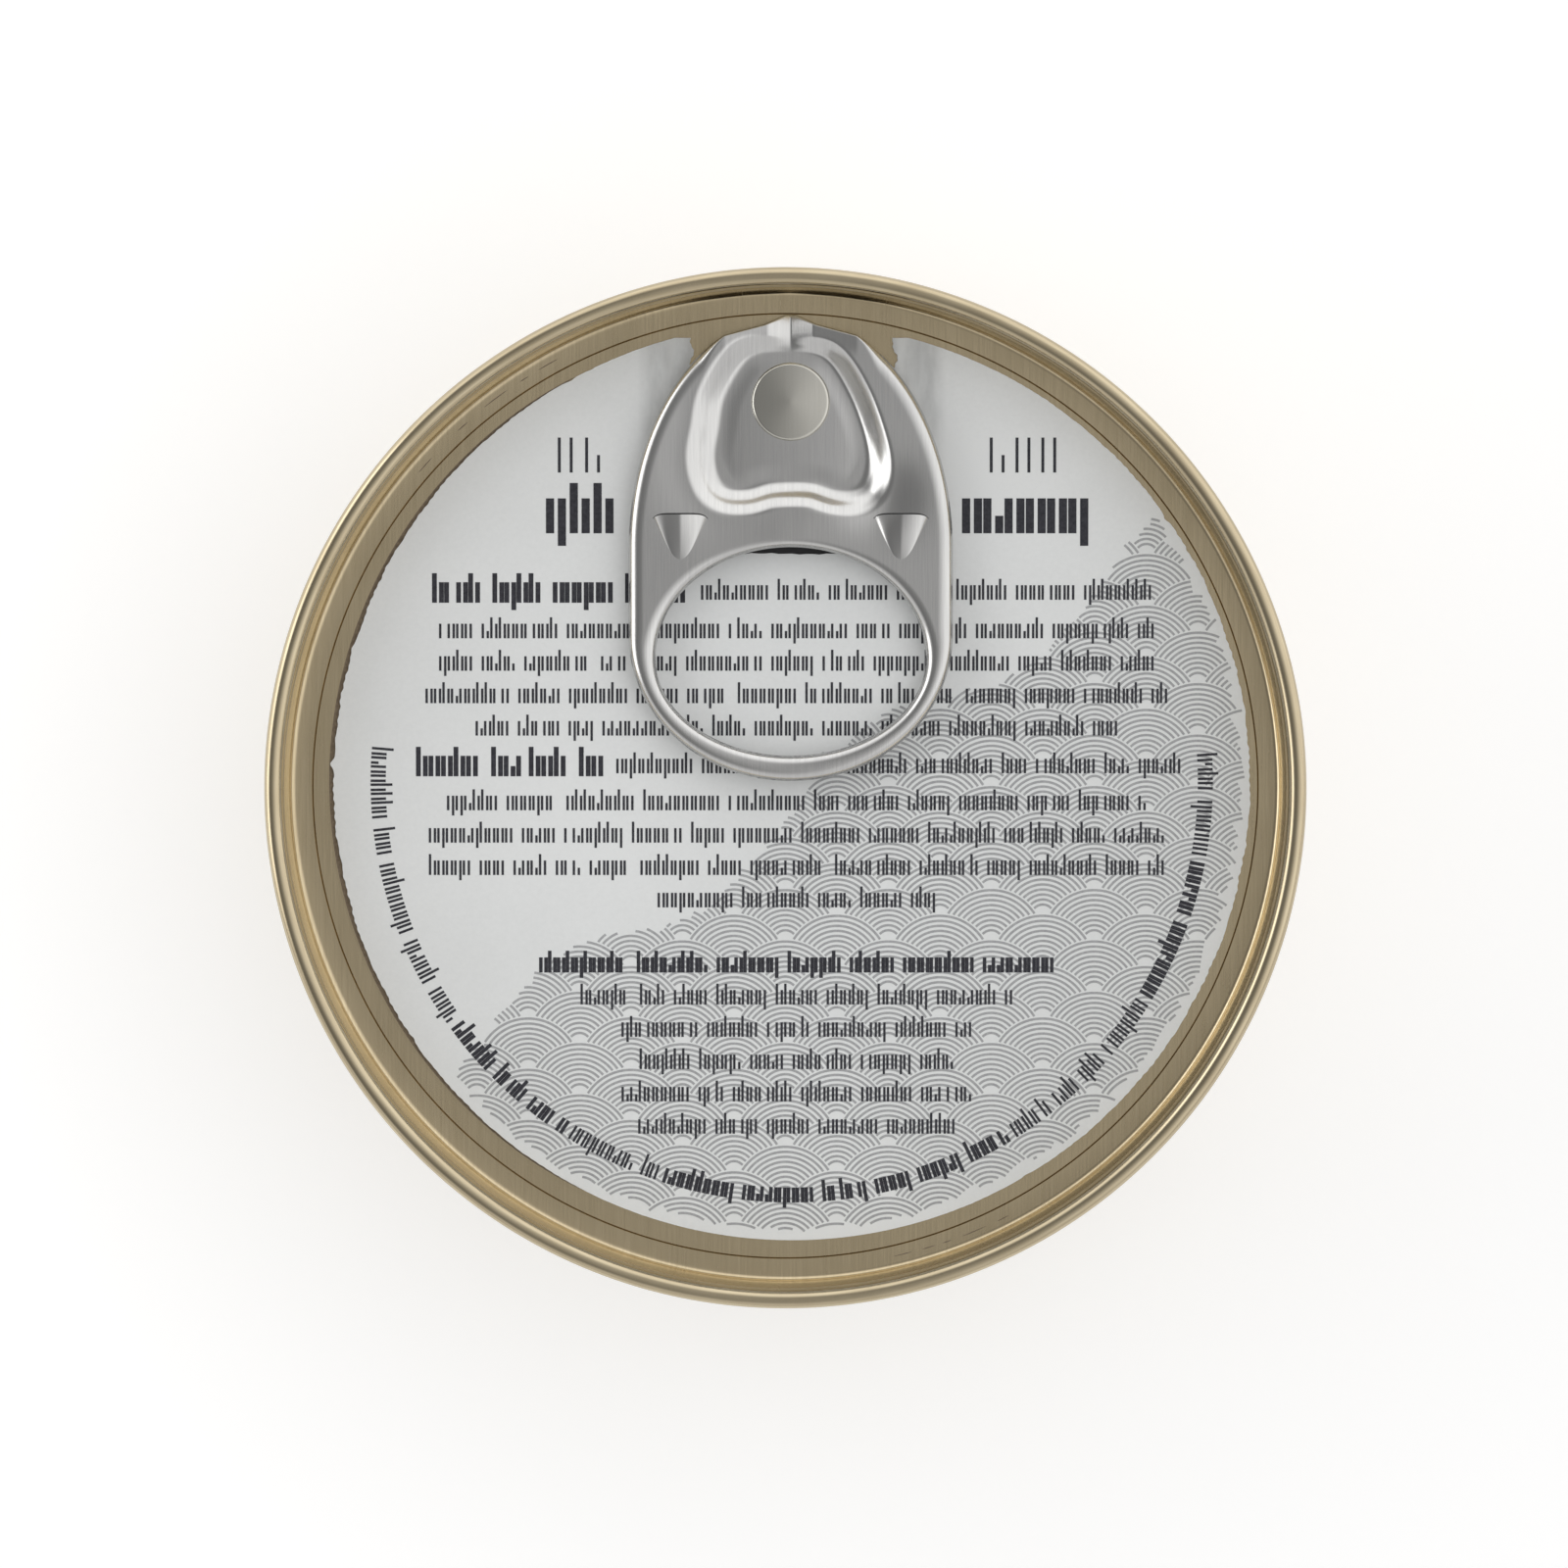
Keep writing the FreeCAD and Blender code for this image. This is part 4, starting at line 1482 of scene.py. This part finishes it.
@dataclass
class PaperLabel:
    """Round label with a slot for the pull, a slightly ragged edge and wrinkles beside the slot.

    Attributes:
        sheet: thickness of the paper.
        ragged: how far the cut edge wanders.
        nicks: places round the edge, in degrees, where a chip of paper is missing, and how deep it is; a
            negative depth is a torn shred that stands out.
        edge_waves: size, count and phase of each sine of the edge, and count and phase of the sine that it
            comes and goes by.
        tears: size, count a millimetre and phase of each sine of the slot's torn sides.
        tear_rise: heights between which the tears grow to their full size; crease_rise is the creases'.
        creases: size, counts a millimetre across and along, and phase of each sine of the creases.
        slot_end_waves: counts a millimetre of the sines of the slot's end, of size slot_end_wander.
        first_turn: how far in radians the first row is from the label's lowest point; corner_gap is the
            last row's distance from the slot's corner.
    """

    sheet: float = 0.1
    ragged: float = 0.13
    nicks: tuple[tuple[float, float], ...] = (
        (177.7, -0.3), (119.0, 0.3), (116.0, 0.2), (163.0, -0.12), (214.0, 0.15), (301.0, 0.2), (35.0, 0.15),
    )
    nick_half_width: float = 0.3
    edge_waves: tuple[tuple[float, ...], ...] = (
        (1.0, 23.0, 0.0, 0.0, math.pi / 2), (1.0, 61.0, 1.0, 0.0, math.pi / 2),
        (1.2, 137.0, 2.0, 9.0, 0.0), (1.5, 311.0, 0.0, 13.0, 1.0),
    )
    tears: tuple[tuple[float, float, float], ...] = ((0.18, 2.1, 0.0), (0.07, 5.7, 1.0), (0.03, 17.0, 0.0))
    tear_rise: tuple[float, float] = (20.0, 29.0)
    crease_rise: tuple[float, float] = (21.0, 27.5)
    crease_reach: float = 2.6
    crease_height: float = 0.05
    creases: tuple[tuple[float, ...], ...] = ((1.0, 2.6, 0.5, 0.0), (0.6, 4.3, -1.1, 1.0))
    slot_end_waves: tuple[float, float] = (5.0, 13.0)
    slot_end_wander: float = 0.03
    slot_half_width: float = 6.7
    slot_middle_x: float = 0.45
    slot_end_y: float = 15.4
    first_turn: float = 0.004
    corner_gap: float = 0.25
    side_columns: int = 26
    middle_columns: int = 30
    lower_rows: int = 420
    upper_rows: int = 200

    def __post_init__(self) -> None:
        """Take the label's place and radius from its node."""
        low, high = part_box("label")
        self.radius = (high.x - low.x) / 2 / MM
        self.middle = np.array([(low.x + high.x) / 2 / MM, low.y / MM + self.radius])
        self.top_z = high.z / MM

    def half_chord(self, along: Array, side: int) -> Array:
        """Half the label's width at a distance along Y.

        The edge wanders by a sum of sines of its direction, the fine ones coming and going, and dips by a
        bell curve at each nick.

        Args:
            along: distance from the tin's axis along Y.
            side: -1 for the left edge, 1 for the right one.

        Returns:
            Distance from the label's middle line to that edge.
        """
        turn = np.arcsin(np.clip((along - self.middle[1]) / self.radius, -1.0, 1.0))
        turn = turn if side > 0 else math.pi - turn
        wander = sum(
            size * np.sin(count * turn + phase) * np.sin(slow * turn + slow_phase)
            for size, count, phase, slow, slow_phase in self.edge_waves
        )
        reach = self.radius - self.ragged * (0.5 + wander / 5)
        for nick, depth in self.nicks:
            away = np.remainder(turn - math.radians(nick) + math.pi, 2 * math.pi) - math.pi
            reach = reach - depth * np.exp(-(away * self.radius / self.nick_half_width) ** 2)
        return reach * np.abs(np.cos(turn))

    def level(self, across: Array, along: Array) -> Array:
        """Height of the paper's top: flat, with soft creases each side of the slot, near its mouth.

        The creases are two crossed sines that fade by a bell curve away from the slot.

        Args:
            across: distance from the tin's axis along X.
            along: distance from the tin's axis along Y.

        Returns:
            Heights.
        """
        beside = np.abs(across - self.slot_middle_x) - self.slot_half_width
        near = np.exp(-(beside / self.crease_reach) ** 2) * smooth_step(along, *self.crease_rise)
        folds = sum(
            size * np.sin(right * across + up * along + phase) for size, right, up, phase in self.creases
        )
        return self.top_z + self.crease_height * near * (folds + 1.0)

    def tear(self, along: Array) -> Array:
        """Sideways wander of the slot's torn edge, a sum of sines that grows towards the mouth."""
        wander = sum(size * np.sin(count * along + phase) for size, count, phase in self.tears)
        return smooth_step(along, *self.tear_rise) * wander

    def build(self, finish: Material) -> Piece:
        """Make the paper: rows right across below the slot's end, then rows on each side of the slot.

        A row's points are spread evenly between its stops, which are the edges and the slot's sides.

        Args:
            finish: the paper.

        Returns:
            The finished piece.
        """
        left_side = self.slot_middle_x - self.slot_half_width
        right_side = self.slot_middle_x + self.slot_half_width
        last_turn = math.asin((self.slot_end_y - self.middle[1]) / self.radius)
        turns = np.linspace(self.first_turn - math.pi / 2, last_turn, self.lower_rows)
        rows = (self.middle[1] + self.radius * np.sin(turns))[:, None]
        left = self.middle[0] - self.half_chord(rows, -1)
        right = self.middle[0] + self.half_chord(rows, 1)
        stops = np.cumsum([0, self.side_columns, self.middle_columns, self.side_columns])
        sides = (np.array([left_side, right_side]) - left[-1]) / (right[-1] - left[-1])
        shares = np.interp(np.arange(stops[-1] + 1), stops, [0.0, *sides, 1.0])
        across = left + (right - left) * shares
        along = rows + 0 * across
        inside = slice(stops[1] + 1, stops[2])
        for count in self.slot_end_waves:
            along[-1, inside] += self.slot_end_wander * np.sin(count * across[-1, inside])
        shell = Shell()
        self.add_strip(shell, across, along)
        corner = self.middle[1] + math.sqrt(self.radius ** 2 - (left_side - self.middle[0]) ** 2)
        for side, slot_side in ((-1, left_side), (1, right_side)):
            upper = np.linspace(self.slot_end_y, corner - self.corner_gap, self.upper_rows)[:, None]
            edge = self.middle[0] + side * self.half_chord(upper, side)
            torn = slot_side - side * self.tear(upper + side)
            share = np.linspace(0.0, 1.0, self.side_columns + 1)
            start, end = (edge, torn) if side < 0 else (torn, edge)
            self.add_strip(shell, start + (end - start) * share, upper)
        shell.thicken(self.sheet)
        piece = shell.to_object("paper_label", finish)
        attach(piece, "root")
        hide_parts("label")
        return piece

    def add_strip(self, shell: Shell, across: Array, along: Array) -> None:
        """Append one strip of paper at its height."""
        shell.add_grid(stacked(across, along, self.level(across, along)), flip=True)


# Print

class Weight(Enum):
    """How heavy a row of marks is: the stroke's width as a share of a mark's height."""

    THIN = 0.085
    REGULAR = 0.165
    BOLD = 0.235


@dataclass(frozen=True)
class MarkRow:
    """One row of plain upright marks, grouped like words, that says nothing.

    Attributes:
        left: where it starts.
        right: where it ends.
        y: its middle height.
        height: height of an ordinary mark.
        weight: how heavy it is.
    """

    left: float
    right: float
    y: float
    height: float = 0.96
    weight: Weight = Weight.REGULAR


@dataclass
class LabelPrint:
    """Dark rows of marks on the label, a curved row round its lower edge and a grey wave pattern.

    Attributes:
        label: the paper under it.
        pitch: from one row to the next.
        seed: for the marks' order.
        advance: from one mark to the next, against a mark's height.
        spread: from a mark's middle to each of its uprights, against its height.
        group: fewest marks in a group, and one more than the most.
        tall: which marks' first upright reaches higher, from one share to another, and by how much of its
            height; short and deep are the same of a second upright that is shorter or reaches lower.
        single: which marks have one upright only.
        ink_height: how far ink stands out of the paper; ink_depth is how far it reaches in.
        curve_parts: share of the curved row's length, and weight, of each of its parts.
        wave_core: radius of a scale's smallest arc against its largest.
        stretch: steps of an arc that one stretch of it has.
        shore_slope: lean of the pattern's upper bound, which swells by a sine of shore_count.
    """

    label: PaperLabel
    pitch: float = 2.14
    seed: int = 11
    advance: float = 0.58
    spread: float = 0.17
    group: tuple[int, int] = (3, 10)
    tall: tuple[float, float, float] = (0.0, 0.22, 0.22)
    short: tuple[float, float, float] = (0.55, 0.68, 0.25)
    single: tuple[float, float] = (0.84, 0.9)
    deep: tuple[float, float, float] = (0.9, 1.0, 0.18)
    title_height: float = 1.35
    large_height: float = 2.3
    ink_height: float = 0.012
    ink_depth: float = 0.03
    tone_height: float = 0.006
    curve_inset: float = 3.0
    curve_gap: float = 0.4
    curve_height: float = 1.0
    curve_start: float = 175.0
    curve_end: float = 365.0
    curve_parts: tuple[tuple[float, Weight], ...] = (
        (0.215, Weight.REGULAR), (0.115, Weight.BOLD), (0.075, Weight.REGULAR), (0.265, Weight.BOLD),
        (0.14, Weight.REGULAR), (0.11, Weight.BOLD), (0.08, Weight.REGULAR),
    )
    wave_radius: float = 3.4
    wave_arcs: int = 9
    wave_core: float = 0.22
    wave_steps: int = 22
    wave_columns: int = 12
    wave_lines: int = 20
    wave_gap: float = 0.18
    wave_half_width: float = 0.08
    stretch: int = 3
    tone_margin: float = 0.7
    shore_slope: float = 0.75
    shore_drop: float = 2.0
    shore_swell: float = 2.0
    shore_count: float = 0.3

    def __post_init__(self) -> None:
        """Start the marks' random order."""
        self.random = np.random.default_rng(self.seed)

    def rows(self) -> list[MarkRow]:
        """Straight rows: four short large ones above, two paragraphs and a centred list.

        Returns:
            The rows.
        """
        middle = self.label.middle[0] + 0.3
        above = [
            MarkRow(-15.4, -11.8, 21.9, self.large_height, Weight.THIN),
            MarkRow(-15.9, -11.2, 17.9, self.large_height, Weight.BOLD),
            MarkRow(13.1, 18.2, 21.9, self.large_height, Weight.THIN),
            MarkRow(11.6, 20.0, 17.9, self.large_height, Weight.BOLD),
        ]
        first, second, third = 12.85, 1.4, -11.75
        titles = [
            MarkRow(-23.3, -6.6, first, self.title_height, Weight.BOLD),
            MarkRow(-24.4, -12.0, second, self.title_height, Weight.BOLD),
            MarkRow(middle - 17.0, middle + 17.0, third, 1.0, Weight.BOLD),
        ]
        plain = [MarkRow(-5.6, 24.7, first), MarkRow(-11.2, 26.1, second)]
        half_widths = {
            first - 0.4: (23.6, 23.6, 24.5, 21.2),
            second - 0.3: (23.1, 24.3, 24.3, 9.2),
            third: (14.3, 11.6, 10.4, 11.6, 10.5),
        }
        for top, halves in half_widths.items():
            for number, half in enumerate(halves, start=1):
                plain.append(MarkRow(middle - half, middle + half, top - number * self.pitch))
        return above + titles + plain

    def marks(self, length: float, height: float, weight: Weight) -> tuple[Array, Array]:
        """Upright marks along a row that starts at 0.

        A mark is one or two uprights.  Some reach higher or lower than the rest, and a gap parts each
        group from the next.

        Args:
            length: length of the row.
            height: height of an ordinary mark.
            weight: how heavy the uprights are.

        Returns:
            Middles and half sizes, both of shape (n, 2), along the row and up.
        """
        advance = self.advance * height
        count = int(length / advance)
        gaps = np.cumsum(self.random.integers(*self.group, count) + 1)
        is_gap = np.isin(np.arange(count), gaps)
        along = (np.arange(count) + 0.5) * length / count
        half_stroke = weight.value * height / 2
        spread = self.spread * height
        kind = self.random.random(count)
        first, last = self.single
        is_single = (kind >= first) & (kind <= last)
        changes = [
            np.where((kind > low) & (kind < high), size * height, 0.0)
            for low, high, size in (self.tall, self.deep, self.short)
        ]
        shapes = []
        for sign in (-1, 1):
            rise, sink, short = (part * (sign == owner) for part, owner in zip(changes, (-1, 1, 1)))
            shown = ~is_gap & ((sign < 0) | ~is_single)
            middles = stacked(along + sign * spread, rise - sink - short)
            halves = stacked(half_stroke, 0.5 * height + rise + sink - short)
            shapes.append((middles[shown], halves[shown]))
        middles, halves = (np.concatenate(parts) for parts in zip(*shapes))
        return middles, halves

    def add_marks(self, shell: Shell, places: Array, halves: Array, turns: Array) -> None:
        """Append marks on the paper, as Shell.add_boxes takes them."""
        shell.add_boxes(places, halves, turns, self.label.level, -self.ink_depth, self.ink_height)

    def straight(self, shell: Shell, row: MarkRow) -> None:
        """Append one straight row."""
        middles, halves = self.marks(row.right - row.left, row.height, row.weight)
        self.add_marks(shell, middles + (row.left, row.y), halves, np.zeros(len(middles)))

    def curved(self, shell: Shell) -> None:
        """Append the row round the lower edge, feet outwards.

        A mark at s along the row stands in the direction start + s / radius.
        """
        radius = self.label.radius - self.curve_inset
        full = math.radians(self.curve_end - self.curve_start) * radius
        start = 0.0
        for part, weight in self.curve_parts:
            middles, halves = self.marks(part * full - self.curve_gap, self.curve_height, weight)
            turns = math.radians(self.curve_start) + (start + middles[:, 0]) / radius
            reach = radius - middles[:, 1]
            self.add_marks(shell, self.label.middle + oval(turns, reach), halves, turns + math.pi / 2)
            start += part * full

    def waves(self) -> Array:
        """Overlapping scales of concentric arcs, rows staggered by half a scale.

        An arc runs where it isn't behind the scales of the next row down, whose middles are one radius
        aside and half a radius lower.

        Returns:
            Paths of shape (arcs, points, 2).
        """
        radius = self.wave_radius
        turns = np.linspace(0.0, math.pi / 2, 400)
        arcs = []
        for ring in np.linspace(1.0, self.wave_core, self.wave_arcs) * radius:
            gap = np.hypot(*(oval(turns, ring) + (-radius, radius / 2)).T) - radius
            clear = gap > self.wave_gap
            start = turns[np.argmax(clear)] if clear.any() else math.pi / 2
            span = np.linspace(start, math.pi - start, self.wave_steps)
            arcs.append(oval(span, ring))
        scale = np.stack(arcs)
        columns = np.arange(-self.wave_columns, self.wave_columns + 1)
        columns, lines = np.meshgrid(columns, np.arange(-self.wave_lines, self.wave_lines))
        spots = stacked((2 * columns + lines % 2) * radius, lines * radius / 2)
        return (scale[None] + spots.reshape(-1, 1, 1, 2)).reshape(-1, scale.shape[1], 2)

    def tone(self, shell: Shell) -> None:
        """Append the grey pattern in short stretches, where they are on the label's lower right.

        Its upper bound is a slanted line with a slow sine on it.
        """
        arcs = self.waves()
        stretches = np.arange(0, arcs.shape[1] - 1, self.stretch)[:, None] + np.arange(self.stretch + 1)
        paths = arcs[:, stretches].reshape(-1, self.stretch + 1, 2)
        offset = paths.mean(axis=1) - self.label.middle
        within = np.hypot(*offset.T) < self.label.radius - self.tone_margin
        swell = self.shore_swell * np.sin(self.shore_count * offset[:, 0])
        shore = self.shore_slope * offset[:, 0] - self.shore_drop + swell
        paths = paths[within & (offset[:, 1] < shore)]
        halves = np.full(paths.shape[:2], self.wave_half_width)
        shell.add_ribbons(paths, halves, self.label.level, -self.ink_depth, self.tone_height)

    def build(self, ink: Material, grey: Material) -> list[Piece]:
        """Make the dark marks and the grey pattern.

        Args:
            ink: the dark ink.
            grey: the pale grey ink.

        Returns:
            The two pieces.
        """
        dark, pale = Shell(), Shell()
        for row in self.rows():
            self.straight(dark, row)
        self.curved(dark)
        self.tone(pale)
        pieces = [dark.to_object("label_marks", ink), pale.to_object("label_waves", grey)]
        for piece in pieces:
            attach(piece, "root")
        return pieces


# Studio

@dataclass
class Studio:
    """Pale floor, soft surroundings and the camera above the tin.

    Attributes:
        distance: camera to the crown of the seam.
        tilt: how far the camera stands off the vertical, towards +Y, in degrees.
        lens: focal length over the sensor's width, both in millimetres.
        floor_tone: lightness of the floor; floor_glow is added where the camera or metal sees it.
        side_levels: brightness of the surroundings from the left over the top to the right, by share of
            the angle to side_reach each way.
        fore_level: brightness ahead, away from the camera's tilt; aft_level is that on the other side, and
            end_reach the angle each way where they are reached.
        away: angles from the vertical between which the sides give way to those two.
    """

    distance: float = 450.0
    tilt: float = 2.3
    lens: float = 157.9
    sensor: float = 36.0
    aim_x: float = -0.09
    aim_y: float = 0.37
    floor_half: float = 600.0
    floor_tone: float = 0.8
    floor_roughness: float = 0.9
    floor_glow: float = 0.35
    side_reach: float = 2.0
    side_levels: tuple[tuple[float, float], ...] = (
        (0.00, 1.2), (0.18, 1.3), (0.27, 0.6), (0.33, 0.2), (0.45, 0.3), (0.52, 0.55), (0.60, 0.95),
        (0.70, 1.3), (1.00, 1.3),
    )
    fore_level: float = 0.82
    aft_level: float = 1.45
    end_reach: float = 0.6
    away: tuple[float, float] = (0.55, 1.0)
    lamp_place: tuple[float, float, float] = (-279.0, 60.0, 150.0)
    lamp_width: float = 300.0
    lamp_height: float = 150.0
    lamp_power: float = 0.19

    def camera(self) -> None:
        """Place the camera so that it looks down on the tin's end."""
        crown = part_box("lid")[1].z / MM
        tilt = math.radians(self.tilt)
        data = bpy.data.cameras.new("camera")
        data.lens = self.lens
        data.sensor_width = self.sensor
        data.clip_start = 0.01
        camera = new_object("camera", data)
        camera.location = (
            self.aim_x * MM,
            (self.aim_y + self.distance * math.sin(tilt)) * MM,
            (crown + self.distance * math.cos(tilt)) * MM,
        )
        camera.rotation_euler = (-tilt, 0.0, 0.0)
        bpy.context.scene.camera = camera

    def floor(self) -> None:
        """Lay the pale floor."""
        material, bench, shader = new_material("pale_floor")
        shader.inputs["Base Color"].default_value = (*(self.floor_tone,) * 3, 1.0)
        shader.inputs["Roughness"].default_value = self.floor_roughness
        shader.inputs["Emission Color"].default_value = WHITE
        path = bench.add("ShaderNodeLightPath")
        seen = bench.math("MAXIMUM", path.outputs["Is Camera Ray"], path.outputs["Is Glossy Ray"])
        bench.link(bench.math("MULTIPLY", seen, self.floor_glow), shader.inputs["Emission Strength"])
        sides = (-self.floor_half, self.floor_half)
        shell = Shell()
        shell.add_grid(np.array([[(across, along, 0.0) for across in sides] for along in sides]), flip=True)
        piece = shell.to_object("floor", material)

    def surroundings(self) -> None:
        """Soft light all round, with a darker patch overhead that leans to the left, as metal shows it."""
        world = bpy.data.worlds.new("studio")
        bpy.context.scene.world = world
        world.use_nodes = True
        bench = NodeBench(world.node_tree)
        bench.tree.nodes.clear()
        across, along, up = bench.place_parts("Generated")
        side = bench.math("ARCTAN2", across, up)
        depth = bench.math("ARCTAN2", along, up)
        levels = bench.ramp(
            bench.remap(side, -self.side_reach, self.side_reach, 0.0, 1.0),
            [(place, (level,) * 3) for place, level in self.side_levels],
        )
        away = bench.remap(bench.math("ABSOLUTE", depth), *self.away, 0.0, 1.0)
        ends = bench.remap(depth, -self.end_reach, self.end_reach, self.fore_level, self.aft_level)
        path = bench.add("ShaderNodeLightPath")
        seen = bench.mix(path.outputs["Is Camera Ray"], bench.mix(away, levels, ends), WHITE)
        background = bench.add("ShaderNodeBackground")
        bench.link(seen, background.inputs["Color"])
        output = bench.add("ShaderNodeOutputWorld")
        bench.link(background.outputs["Background"], output.inputs["Surface"])

    def lamp(self) -> None:
        """Hang a soft lamp on the left, so that the left of the tin is a little brighter."""
        data = bpy.data.lights.new("left_lamp", "AREA")
        data.shape = "RECTANGLE"
        data.size, data.size_y = self.lamp_width * MM, self.lamp_height * MM
        data.energy = self.lamp_power
        lamp = new_object("left_lamp", data)
        lamp.location = tuple(part * MM for part in self.lamp_place)
        lamp.rotation_euler = lamp.location.to_track_quat("Z", "Y").to_euler()

    def build(self) -> None:
        """Set up the floor, the light and the camera, and plain colour handling."""
        self.lamp()
        self.floor()
        self.surroundings()
        self.camera()
        bpy.context.scene.view_settings.view_transform = "Standard"


def main() -> None:
    """Build the tin piece by piece and report each."""
    logging.basicConfig(level=logging.INFO, format="%(message)s")
    gold_light, gold_dark = (0.59, 0.49, 0.325), (0.475, 0.39, 0.25)
    end_metal = Metal("lacquered_sheet", gold_light, gold_dark, 0.24).build()
    body_metal = Metal("lacquered_wall", gold_light, gold_dark, 0.28, Grain.ROUND_Z).build()
    wall_metal = Metal("drawn_sheet", (0.76, 0.67, 0.48), (0.62, 0.53, 0.36), 0.22, Grain.ROUND_Z).build()
    seam_metal = Metal("rolled_seam", (0.55, 0.47, 0.325), (0.45, 0.375, 0.25), 0.2, Grain.ROUND_Z).build()
    rivet_metal = Metal(
        "lacquered_rivet", (0.58, 0.565, 0.515), (0.54, 0.525, 0.475), 0.2, grain_pitch=0.15, relief=0.02,
    ).build()
    bare_metal = Metal(
        "bare_sheet", (0.60, 0.595, 0.58), (0.52, 0.515, 0.51), 0.2, grain_pitch=0.09, relief=0.08,
    ).build()
    paper = Paper("label_paper", (0.775, 0.785, 0.78), (0.70, 0.71, 0.705), 0.55).build()
    dark_ink = Ink("dark_ink", (0.035, 0.035, 0.045), (0.010, 0.010, 0.016)).build()
    grey_ink = Ink("grey_ink", (0.42, 0.425, 0.43), (0.33, 0.335, 0.34)).build()
    brown_scuff = Ink("brown_scuff", (0.23, 0.175, 0.115), (0.13, 0.095, 0.06)).build()
    # Black for the painted shade under the pull, where the panel only lies in deep shadow.
    black_painted_shade = Ink("black_painted_shade", (0.012, 0.012, 0.014), (0.006, 0.006, 0.007)).build()
    # Dark for the painted shade in the shadowed gaps of the bumps' cuts.
    dark_cut = Ink("cut_shadow", (0.05, 0.05, 0.05), (0.02, 0.02, 0.02)).build()
    made: list[Piece] = [TinBody().build(body_metal, end_metal)]
    end = TinEnd()
    made += end.build(end_metal, wall_metal, seam_metal, rivet_metal)
    made += [end.painted_shade_patch(black_painted_shade), end.scuffs(brown_scuff)]
    label = PaperLabel()
    made.append(label.build(paper))
    made += LabelPrint(label).build(dark_ink, grey_ink)
    pull = RingPull()
    made += [pull.build(bare_metal), pull.slits(dark_cut)]
    for piece in made:
        log.info("%s: %d faces", piece.name, len(piece.data.polygons))
    Studio().build()


if __name__ == "__main__":
    main()
